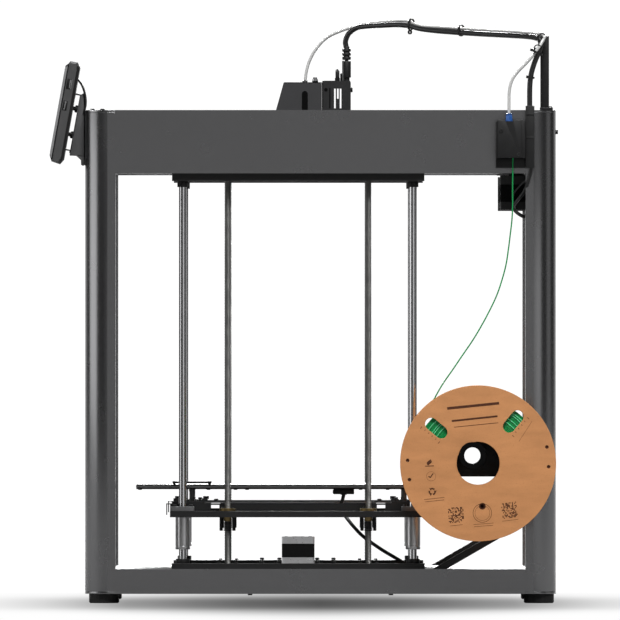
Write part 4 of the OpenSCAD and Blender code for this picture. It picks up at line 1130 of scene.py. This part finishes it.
def build_tower():
    part = Shape()
    part.extrude([(268, 284), (284, 284), (284, 295.2), (282.4, 295.2), (282.4, 285.6),
                  (269.6, 285.6), (269.6, 295.2), (268, 295.2)], 640, 732.4, 0.3, "z")
    part.box(266, 286, 283.4, 300.2, 637.05, 640.4, 0.6)
    part.build("tower_post", BLACK_METAL, "frame", "black_metal", "cable_tower", weld=False)
    part = Shape()
    for x in (272, 280):
        part.screw("z", (x, 297.2, 640.3), 1.9, 1.6)
    part.build("tower_screws", STEEL, "frame", "light_steel", weld=False)
    part = Shape()
    for (x, y, z), radius, wire in (((300.6, 285.9, 730.6), 5.0, 0.96),
                                    ((303.2, 280.4, 716.3), 4.6, 0.768)):
        angles = [radians(40 + 14 * k) for k in range(18)]
        part.tube([(x + 0.9 * sin(a), y + radius * cos(a), z + radius * sin(a))
                   for a in angles], wire, 10)
    cable_tie(part, (300.6, 279.4, 711.5), (0.05, 0.42, 0.9), 7.0, 1.0)
    cable_tie(part, (297.4, 271.6, 679), (0, 0.15, 1), 4.0, 0.9)
    part.build("tower_ties", BLACK_PLASTIC, "frame", "black_plastic", weld=False)
    part = Shape()      # saddle that joins the cable to the tower top
    part.box(270, 290, 278.6, 288, 726.2, 733.4, 1.5, 3)
    part.box(283, 300, 275.6, 284.2, 711, 717.5, 1.2, 3)
    part.box(281.5, 285, 279, 288, 711, 717.5, 0.8, 2)
    part.build("tower_saddle", BLACK_PLASTIC, "frame", "black_plastic", weld=False)


def build_hose_clip(name, at, along, half_width, half_height, lug, blend):
    """Band round hose and tube, with a ring below it when lug is its radius."""
    part = Shape()
    at, along = Vector(at), Vector(along).normalized()
    across = along.cross(Vector((0, 0, 1))).normalized()
    up = across.cross(along)
    part.band(at, along, across, up, (half_width, half_height), 3.0, 1.0, 32)
    if lug:
        centre = at - up * (half_height + 0.9 + lug * 0.8)
        part.band(centre, across, along, up, (lug * 0.55, lug * 0.55), 2.4, lug * 0.45, 20)
    blend(part.build(name, BLACK_PLASTIC, None, "black_plastic"), UMBILICAL_PATH,
          UMBILICAL_SPLIT)


# ---------------------------------------------------------------- toolhead
def cover_section(x, inset):
    return [(x, -58.4 + inset, 635.7), (x, -47.7 + inset * 0.8, 672.7 - inset),
            (x, 1.7 - inset * 0.3, 672.7 - inset), (x, 1.7 - inset * 0.3, 631.4),
            (x, -14.2, 631.4), (x, -14.2, 578.2), (x, -50 + inset, 578.2),
            (x, -58.4 + inset, 592)]


def build_tool_cover():
    part = Shape()      # crowned shell, drawn in towards both sides
    part.rings([cover_section(x, inset) for x, inset in (
        (-31.85, 1.4), (-31.2, 0.5), (-30.4, 0.0), (30.4, 0.0), (31.2, 0.5), (31.85, 1.4))])
    part.build("tool_cover", COVER, "carriage", "cover_plastic", "toolhead_cover", bevel=0.8)
    part = Shape()      # painted shade: dark patches over the top slot, side vents, side port and fan opening, and a dark line along the top edge
    part.box(-14, -2, -24.2, -16.4, 670.5, 672.85, 0.3)
    for i in range(5):
        for x0, x1 in ((-31.92, -31.5), (31.5, 31.92)):
            part.box(x0, x1, -44 + 5 * i, -42 + 5 * i, 584, 604, 0.2)
    part.extrude([(-24.2, 634)] + arc(-20.3, 657.9, 3.9, 180, -180, 8) + [(-16.4, 634)],
                 31.5, 31.93)
    part.cylinder("y", (0, 0, FAN_Z), -58.55, -55, 17.8, 56)
    part.box(31.1, 31.93, -46.6, 1.6, 671.5, 672.6, 0.2)
    part.build("cover_recess_shade", RECESS_SHADE, "carriage", "rubber", weld=False)
    part = Shape()      # rings, spokes and hub over the fan
    for radius in (17.6, 13.0, 8.6):
        part.tube([(x, -58.5, z) for x, z in circle(0, FAN_Z, radius, 56)], 0.75, 8, loop=True)
    for k in range(6):
        a = radians(30 + 60 * k)
        part.tube([(r * cos(a), -58.5, FAN_Z + r * sin(a)) for r in (4, 17.6)], 0.7, 8)
    part.cylinder("y", (0, 0, FAN_Z), -59.1, -57.6, 4.4, 28, 0.4)
    part.build("fan_guard", COVER, "carriage", "cover_plastic", weld=False)


def build_tool_rear():
    part = Shape()      # side walls with three through slots, then the other walls
    outlines = [rounded_rect(1.9, 39.5, 633.2, 674.7, 3.0, 1.0, steps=4)]
    outlines += [[(y, low), (y + 2.1, low), (y + 2.1, 665), (y, 665)]
                 for y, low in ((17.8, 640), (21.6, 652), (25.2, 640))]
    part.holed_plate(outlines, 28.0, 30.0)
    part.holed_plate(outlines, -30.0, -28.0)
    part.box(-28.2, 28.2, 1.9, 3.9, 633.2, 672.5, 0.3)
    part.box(-28.2, 28.2, 37.4, 39.5, 633.2, 672.5, 0.3)
    part.box(-28.2, 28.2, 2.5, 38.9, 672.2, 674.7, 0.4)
    part.build("tool_rear", REAR, "carriage", "black_plastic", "toolhead_rear", weld=False)


def build_tool_fittings():
    part = Shape()      # ribbed strain relief, block and pointed boot
    relief = [(0, 674.7), (4.0, 674.7), (4.0, 678.6), (5.5, 679.0), (5.7, 679.6),
              (5.7, 699.4), (5.4, 700.0), (2.4, 700.1), (2.4, 701.5)]
    for z in (702.2, 707.4, 712.6):
        relief += [(3.9, z - 0.7), (5.5, z), (5.65, z + 0.4), (5.65, z + 3.0), (5.4, z + 3.4),
                   (3.9, z + 3.9)]
    relief += [(3.7, 718.4), (3.4, 719.0), (0, 719.0)]
    part.revolve(relief, "z", (8, 34, 0), 40, solid=True)
    part.box(-12, -2, 19.5, 24.8, 674.6, 687.5, 0.7)
    part.revolve([(0, 674.6), (2.6, 674.6), (2.6, 687.6), (2.0, 689.2), (0.8, 690.0),
                  (0, 690.0)], "z", (-7, 22.15, 0), 28, solid=True)
    part.box(-10.5, -3.5, 18.8, 25.4, 674.6, 678.6, 0.5)
    part.box(-10, -4, 25.7, 28.2, 674.6, 684.5, 0.5)
    part.build("tool_fittings", BLACK_PLASTIC, "carriage", "black_plastic", weld=False)
    part = Shape()
    part.screw("y", (-15, 39.45, 663.5), 3.2, 2.5)
    part.build("tool_screws", BLACK_METAL, "carriage", "black_metal", weld=False)
    # painted shade: dark disc, strips and top socket over holes and the gap next to the cover
    part = Shape()
    part.cylinder("x", (0, 7.1, 663.2), 29.6, 30.1, 2.3, 24)
    part.box(29.6, 30.08, 11.5, 13.0, 640, 665.4)
    part.box(29.6, 30.1, 1.9, 3.5, 634, 671.5)
    part.revolve([(0, 672.6), (3.9, 672.6), (3.9, 674.2), (2.9, 676.2), (0, 676.2)],
                 "z", (10, -6.9, 0), 28, solid=True)
    part.build("tool_recess_shade", RECESS_SHADE, "carriage", "black_plastic", weld=False)
    # thin grey rod beside the boot: painted highlight down the boot's side
    part = Shape()
    part.cylinder("z", (12.5, 29.3, 0), 674.6, 700.6, 1.15, 18, 0.3)
    part.build("boot_highlight_rod", DULL_STEEL, "carriage", "light_steel", weld=False)
    part = Shape()
    part.revolve([(0, 676.0), (2.7, 676.0), (2.7, 678.6), (2.3, 679.2), (0, 679.2)],
                 "z", (10, -6.9, 0), 28, solid=True)
    part.revolve([(2.2, 672.6), (3.4, 672.6), (3.4, 675.4), (2.2, 675.8)],
                 "z", (-8, -20.2, 0), 24)
    part.build("tool_inserts", FLANGE_STEEL, "carriage", "light_steel")


def build_hotend():
    part = Shape()
    for i in range(7):
        z = 606 - 3.6 * i
        part.revolve([(5.5, z - 1.4), (10.9, z - 1.4), (10.9, z), (5.5, z)], "z", HOTEND, 32)
    part.cylinder("z", HOTEND, 580, 608, 5.8, 28)
    part.cylinder("z", HOTEND, 571, 581, 2.2, 20)
    part.build("heatsink_fins", ALUMINIUM, "carriage", "aluminium", "hotend", weld=False)
    part = Shape()
    part.box(-10, 10, -40, -20, 560, 572, 1.2, 3)
    part.box(-10.9, -9.8, -35, -26, 563, 569.5, 0.4)
    part.build("heater_sock", SILICONE, "carriage", "rubber", weld=False)
    part = Shape()
    part.revolve([(0.2, 553.5), (0.55, 553.5), (1.0, 553.9), (3.0, 556.6), (3.0, 557.2)],
                 "z", HOTEND, 28, solid=True)
    part.revolve([(0, 557.0), (4.0, 557.0), (4.0, 560.3), (0, 560.3)], "z", HOTEND, 6,
                 solid=True)
    part.build("nozzle", BRASS, "carriage", "brass", weld=False)
    part = Shape()
    for x in (-17, 14):
        part.box(x, x + 3, -40.4, -30, 569.6, 592, 0.8)
    for z in (592.1, 628.6):
        part.extrude([(-20, -56), (20, -56), (20, -46.2), (-20, -46.2)], z,
                     594.4 if z < FAN_Z else 630.8, 0.3, "z")
    for x in (-20, 18.4):
        part.box(x, x + 1.6, -56, -46.2, 592.1, 630.8, 0.3)
    part.build("fan_frame", BLACK_PLASTIC, "carriage", "black_plastic", weld=False)


def raise_top():
    """Stretches the upper part of the toolhead so that it stands a little taller."""
    for name in ("tool_cover", "cover_recess_shade", "fan_guard", "tool_rear", "tool_fittings",
                 "tool_screws", "tool_recess_shade", "boot_highlight_rod", "tool_inserts"):
        for v in bpy.data.objects[name].data.vertices:
            z = v.co.z * 1000
            if z > 612:
                lift = 2.2 * (z - 612) / 60 if z < 672 else 2.2 + (z - 672) * 0.008
                v.co.z = (z + lift) / 1000


def build_fan_rotor():
    part = Shape()      # nine curved blades and a hub cap
    for k in range(9):
        rings = []
        for j in range(7):
            r = 8.6 + 9.2 * j / 6
            half = radians(14 + 5 * j / 6)
            a = 2 * pi * k / 9 + radians(7) * j / 6
            rings.append([(r * cos(b), y, FAN_Z + r * sin(b)) for b, y in (
                (a - half, -54.6), (a + half, -49.4), (a + half, -48.8), (a - half, -54.0))])
        part.rings(rings)
    part.revolve([(0, 0), (8.4, 0), (8.9, 0.6), (8.9, 6.9), (0, 6.9)], "y",
                 (0, -55.1, FAN_Z), 40, solid=True)
    part.build("fan_blades", BLACK_PLASTIC, "fan", "black_plastic", "fan_rotor", weld=False)


# ---------------------------------------------------------------- frame screws and belts
# x on the right (mirrored on the left), y places, z, radius, height, direction along Z
SCREW_ROWS = (
    (262, (-294.8, -281.7, 293), 637.02, 3, 1.8, 1),
    (270, (-91, 91), 11.98, 3, 1.8, -1),
    (262, (-76.5, -53.7, -4.2, 17.2), 51.32, 2.75, 2.9, 1),
    (262, (-130.6, -109.6, 51.4, 72.4), 51.32, 2.3, 1.8, 1))


def build_frame_screws():
    part = Shape()
    for side in (-1, 1):
        for x, places, z, radius, height, sign in SCREW_ROWS:
            for y in places:
                part.screw("z", (x * side, y, z), radius, height, sign)
        part.screw("y", (258 * side, 304.22, 609), 3, 2.75)
    for x in (-180, 180):
        for z in (575, 617):
            part.screw("y", (x, -304.22, z), 3, 1.98, -1)
    part.build("frame_screw_heads", BLACK_METAL, "frame", "black_metal", "frame_screws",
               weld=False)


def belt(part, corners, z):
    """Closed belt round (x, y, start angle) pulleys, teeth inward on the long runs."""
    inner, outer, height, steps = 6.25, 7.5, 6, 12
    path = []
    for x, y, start in corners:
        path += [(x, y, u, v) for u, v in arc(0, 0, 1, start, 360 / len(corners), steps)]
    part.rings([[(x + u * r, y + v * r, level) for r, level in (
        (inner, z), (outer, z), (outer, z + height), (inner, z + height))]
        for x, y, u, v in path], loop=True)
    for (x, y, u, v), (x1, y1, u1, v1) in zip(path, path[1:] + path[:1]):
        ax, ay = x + u * inner, y + v * inner
        bx, by = x1 + u1 * inner, y1 + v1 * inner
        length = hypot(bx - ax, by - ay)
        if length < 20:
            continue
        dx, dy = (bx - ax) / length, (by - ay) / length
        k = 0
        while 2.0 * k + 1.2 < length:
            t0, t1 = 2.0 * k + 0.4, 2.0 * k + 1.4
            tooth = [(ax + dx * t - u * depth, ay + dy * t - v * depth) for t, depth in (
                (t0, -0.05), (t1, -0.05), (t1 - 0.2, 0.65), (t0 + 0.2, 0.65))]
            part.extrude(tooth, z + 0.05, z + height - 0.05, axis="z")
            k += 1


def build_belts():
    part = Shape()
    front, rear = LEAD_Y
    belt(part, [(LEAD_X, rear, 0), (-LEAD_X, rear, 90), (-LEAD_X, front, 180),
                (LEAD_X, front, 270)], BED_BELT_Z)
    for x in (-Y_MOTOR_X, Y_MOTOR_X):
        belt(part, [(x, Y_MOTOR_Y, 0), (x, -250, 180)], Y_BELT_Z)
    part.build("belt_loops", RUBBER, "frame", "rubber", "drive_belts", weld=False)


# ---------------------------------------------------------------- stage, in metres
FLOOR_X = ([-1.2, -0.6, 0.0] + [0.30 + 0.015 * k for k in range(9)]
           + [0.45 + 0.1 * k for k in range(36)])
FLOOR_BEND = 0.09       # length over which the floor curves down to its straight slope
# The floor seen level by the camera is shaded by x and by distance from y = 0.
SHADE_X_START, SHADE_X_SPAN, SHADE_Y_SPAN = -1.25, 1.8, 0.6
SHADE_X = (
    (-1.2, 0.30), (-0.9, 0.54), (-0.65, 0.69), (-0.39, 0.86), (-0.1, 0.97), (0.15, 1.0),
    (0.33, 1.0), (0.355, 0.985), (0.367, 0.95), (0.379, 0.89), (0.391, 0.72), (0.406, 0.51),
    (0.422, 0.29), (0.434, 0.15), (0.452, 0.06), (0.49, 0.0))
SHADE_Y = (
    (0.0, 0.905), (0.10, 0.86), (0.16, 0.80), (0.22, 0.717), (0.25, 0.677), (0.297, 0.515),
    (0.323, 0.42), (0.36, 0.30), (0.42, 0.16), (0.50, 0.05), (0.58, 0.0))


def floor_material():
    """White floor; the camera sees an emission with soft shade round the base laid in."""
    made = material("floor_white", (0.93, 0.93, 0.93), rough=0.75, vary=0.006, vary_scale=3,
                    bump=0.03, bump_scale=200, spec=0.2)
    tree = made.node_tree
    surface = tree.nodes["Principled BSDF"]
    output = tree.nodes["Material Output"]

    def calc(operation, first, second):
        return add(tree, "ShaderNodeMath", {0: first, 1: second}, operation=operation).outputs[0]

    def span(source, low, high):
        return add(tree, "ShaderNodeMapRange",
                   {"Value": source, "From Min": low, "From Max": high}).outputs[0]

    def grey_ramp(source, stops):
        return color_ramp(tree, source, [(place, (v, v, v, 1)) for place, v in stops])

    # other rays find a darker floor, so little light bounces back up
    is_camera = add(tree, "ShaderNodeLightPath").outputs["Is Camera Ray"]
    tint = surface.inputs["Base Color"].links[0].from_socket
    bounced = add(tree, "ShaderNodeMix", {0: is_camera, 6: (0.22, 0.22, 0.22, 1), 7: tint},
                  data_type="RGBA").outputs[2]
    tree.links.new(bounced, surface.inputs["Base Color"])

    geometry = add(tree, "ShaderNodeNewGeometry")
    place = add(tree, "ShaderNodeSeparateXYZ", {0: geometry.outputs["Position"]})
    start = SHADE_X_START + OFFSET.x
    along = grey_ramp(span(place.outputs["X"], start, start + SHADE_X_SPAN),
                      [((x - SHADE_X_START) / SHADE_X_SPAN, v) for x, v in SHADE_X])
    side = calc("ABSOLUTE", calc("SUBTRACT", place.outputs["Y"], OFFSET.y), 0.0)
    across = grey_ramp(span(side, 0.0, SHADE_Y_SPAN), [(y / SHADE_Y_SPAN, v) for y, v in SHADE_Y])
    widening = calc("MULTIPLY", calc("MULTIPLY", side, side), 12.8)
    power = calc("ADD", calc("MULTIPLY", calc("MINIMUM", widening, 1.5), 1.5), 1.0)
    level = calc("SUBTRACT", 1.0, calc("MULTIPLY", calc("POWER", along, power), across))

    # seen from above: shade that fades with distance from the base's rectangle
    centred = calc("ABSOLUTE", calc("SUBTRACT", place.outputs["X"], OFFSET.x), 0.0)
    past_x = calc("MAXIMUM", calc("SUBTRACT", centred, 0.24), 0.0)
    past_y = calc("MAXIMUM", calc("SUBTRACT", side, 0.26), 0.0)
    distance2 = calc("ADD", calc("MULTIPLY", past_x, past_x), calc("MULTIPLY", past_y, past_y))
    near = calc("POWER", 2.71828, calc("MULTIPLY", distance2, -55.0))
    above = calc("SUBTRACT", 1.0, calc("MULTIPLY", near, 0.50))

    view = add(tree, "ShaderNodeSeparateXYZ", {0: geometry.outputs["Incoming"]})
    tilted = calc("GREATER_THAN", calc("ABSOLUTE", view.outputs["Z"], 0.0), 0.05)
    shade = add(tree, "ShaderNodeMix", {0: tilted, 2: level, 3: above}, data_type="FLOAT")
    glow = add(tree, "ShaderNodeEmission", {0: shade.outputs[0]})
    seen = add(tree, "ShaderNodeMixShader",
               {0: is_camera, 1: surface.outputs[0], 2: glow.outputs[0]})
    tree.links.new(seen.outputs[0], output.inputs[0])
    return made


def build_floor():
    data = bpy.data.meshes.new("floor")
    mesh = bmesh.new()
    rows = []
    for x in FLOOR_X:
        past = max(0.0, x - 0.30)
        z = -past * past
        if past >= FLOOR_BEND:
            z = -FLOOR_BEND ** 2 - 2 * FLOOR_BEND * (past - FLOOR_BEND)
        rows.append([mesh.verts.new((x + OFFSET.x, y, z)) for y in (-3.5, -1.0, 0.0, 1.0, 3.5)])
    for a, b in zip(rows, rows[1:]):
        for k in range(4):
            mesh.faces.new((a[k], b[k], b[k + 1], a[k + 1]))
    mesh.to_mesh(data)
    mesh.free()
    data.polygons.foreach_set("use_smooth", [True] * len(data.polygons))
    floor = bpy.data.objects.new("floor", data)
    bpy.context.scene.collection.objects.link(floor)
    data.materials.append(floor_material())


# name, place, target, size across and up, watts
LIGHTS = (
    ("panel_rear", (5.45, 2.75, 0.5), (0.25, 0.3, 0.4), (2.9, 2.6), 21),
    ("front_box", (6.5, 0.0, 0.38), (0, 0, 0.38), (2.5, 2.5), 8.2),
    ("key_top", (3.0, 0.5, 5.0), (0, 0, 0.3), (2.0, 2.0), 500),
    ("front_strip", (1.0, -4.4, 0.6), (0, 0, 0.36), (3.4, 3.0), 66),
    ("rear_strip", (0.6, 4.6, 0.9), (0, 0, 0.36), (2.0, 3.0), 7),
    ("back_low", (-3.6, 0.2, 2.0), (0.2, 0, 0.0), (2.6, 1.2), 420),
    ("back_top", (-1.5, 0.4, 4.2), (0, 0, 0.3), (2.6, 2.6), 60))


def place_aimed(name, data, place, direction):
    made = bpy.data.objects.new(name, data)
    made.location = Vector(place) + OFFSET
    made.rotation_mode = "QUATERNION"
    made.rotation_quaternion = direction.to_track_quat("-Z", "Y")
    bpy.context.scene.collection.objects.link(made)
    return made


def build_lights():
    for name, place, target, size, watts in LIGHTS:
        data = bpy.data.lights.new(name, "AREA")
        data.shape = "RECTANGLE"
        data.size, data.size_y = size
        data.energy = watts
        light = place_aimed(name, data, place, Vector(target) - Vector(place))
        light.visible_camera = False


def build_world():
    """White to the camera; the printer itself is lit from -X and hardly from +X."""
    world = bpy.data.worlds.new("studio")
    bpy.context.scene.world = world
    world.use_nodes = True
    tree = world.node_tree
    tree.nodes.clear()
    white = (1, 1, 1, 1)
    is_camera = add(tree, "ShaderNodeLightPath").outputs["Is Camera Ray"]
    seen = add(tree, "ShaderNodeBackground", {0: white, 1: 1.05})
    coords = add(tree, "ShaderNodeTexCoord").outputs["Generated"]
    direction = add(tree, "ShaderNodeSeparateXYZ", {0: coords})
    strength = add(tree, "ShaderNodeMapRange", {
        "Value": direction.outputs["X"], "From Min": -0.97, "From Max": -0.55,
        "To Min": 1.0, "To Max": 0.05})
    lit = add(tree, "ShaderNodeBackground", {0: white, 1: strength.outputs[0]})
    mixed = add(tree, "ShaderNodeMixShader",
                {0: is_camera, 1: lit.outputs[0], 2: seen.outputs[0]})
    add(tree, "ShaderNodeOutputWorld", {0: mixed.outputs[0]})


def build_camera():
    """Long lens far out on +X, looking level along -X."""
    data = bpy.data.cameras.new("camera")
    data.lens = 1000
    data.sensor_width = 21.2
    data.clip_start, data.clip_end = 5, 90
    scene = bpy.context.scene
    scene.camera = place_aimed("camera", data, (0.29 + 37.77, -0.01356, 0.3787),
                               Vector((-1, 0, 0)))
    scene.view_settings.view_transform = "Standard"
    scene.view_settings.look = "None"


# ---------------------------------------------------------------- assemble
dress_cad_pieces()
build_spool()
build_spool_print()
build_filament()
build_hose("umbilical", UMBILICAL_PATH, UMBILICAL_SPLIT, 3.45, JACKET, "rubber",
           "umbilical_cable")
build_hose("feed_tube", FEED_TUBE_PATH, FEED_TUBE_SPLIT, 2.0, TUBE, "tube", "feed_tube")
build_bed_cable()
build_lead_screws()
build_nuts()
build_bearings()
build_motors()
build_bed()
build_screen()
build_screen_bracket()
build_sensor()
build_channel()
build_spool_holder()
build_tower()
build_hose_clip("hose_clip_a", (79.5, 117.6, 749.6), (0.68, 0.70, -0.19), 4.3, 6.9, 3.0,
                blend_to_gantry)
build_hose_clip("hose_clip_b", (154, 182.4, 740.9), (0.75, 0.65, -0.06), 4.2, 6.6, 0,
                blend_to_frame)
build_tool_cover()
build_tool_rear()
build_tool_fittings()
build_hotend()
raise_top()
build_frame_screws()
build_belts()
build_fan_rotor()
soften(["corner_posts"], 0.22)
soften(["rod_carriers", "cable_channel", "y_carriages", "carriage_plate", "gantry_beam",
        "power_supply", "rear_braces"], 0.2)
build_floor()
build_lights()
build_world()
build_camera()
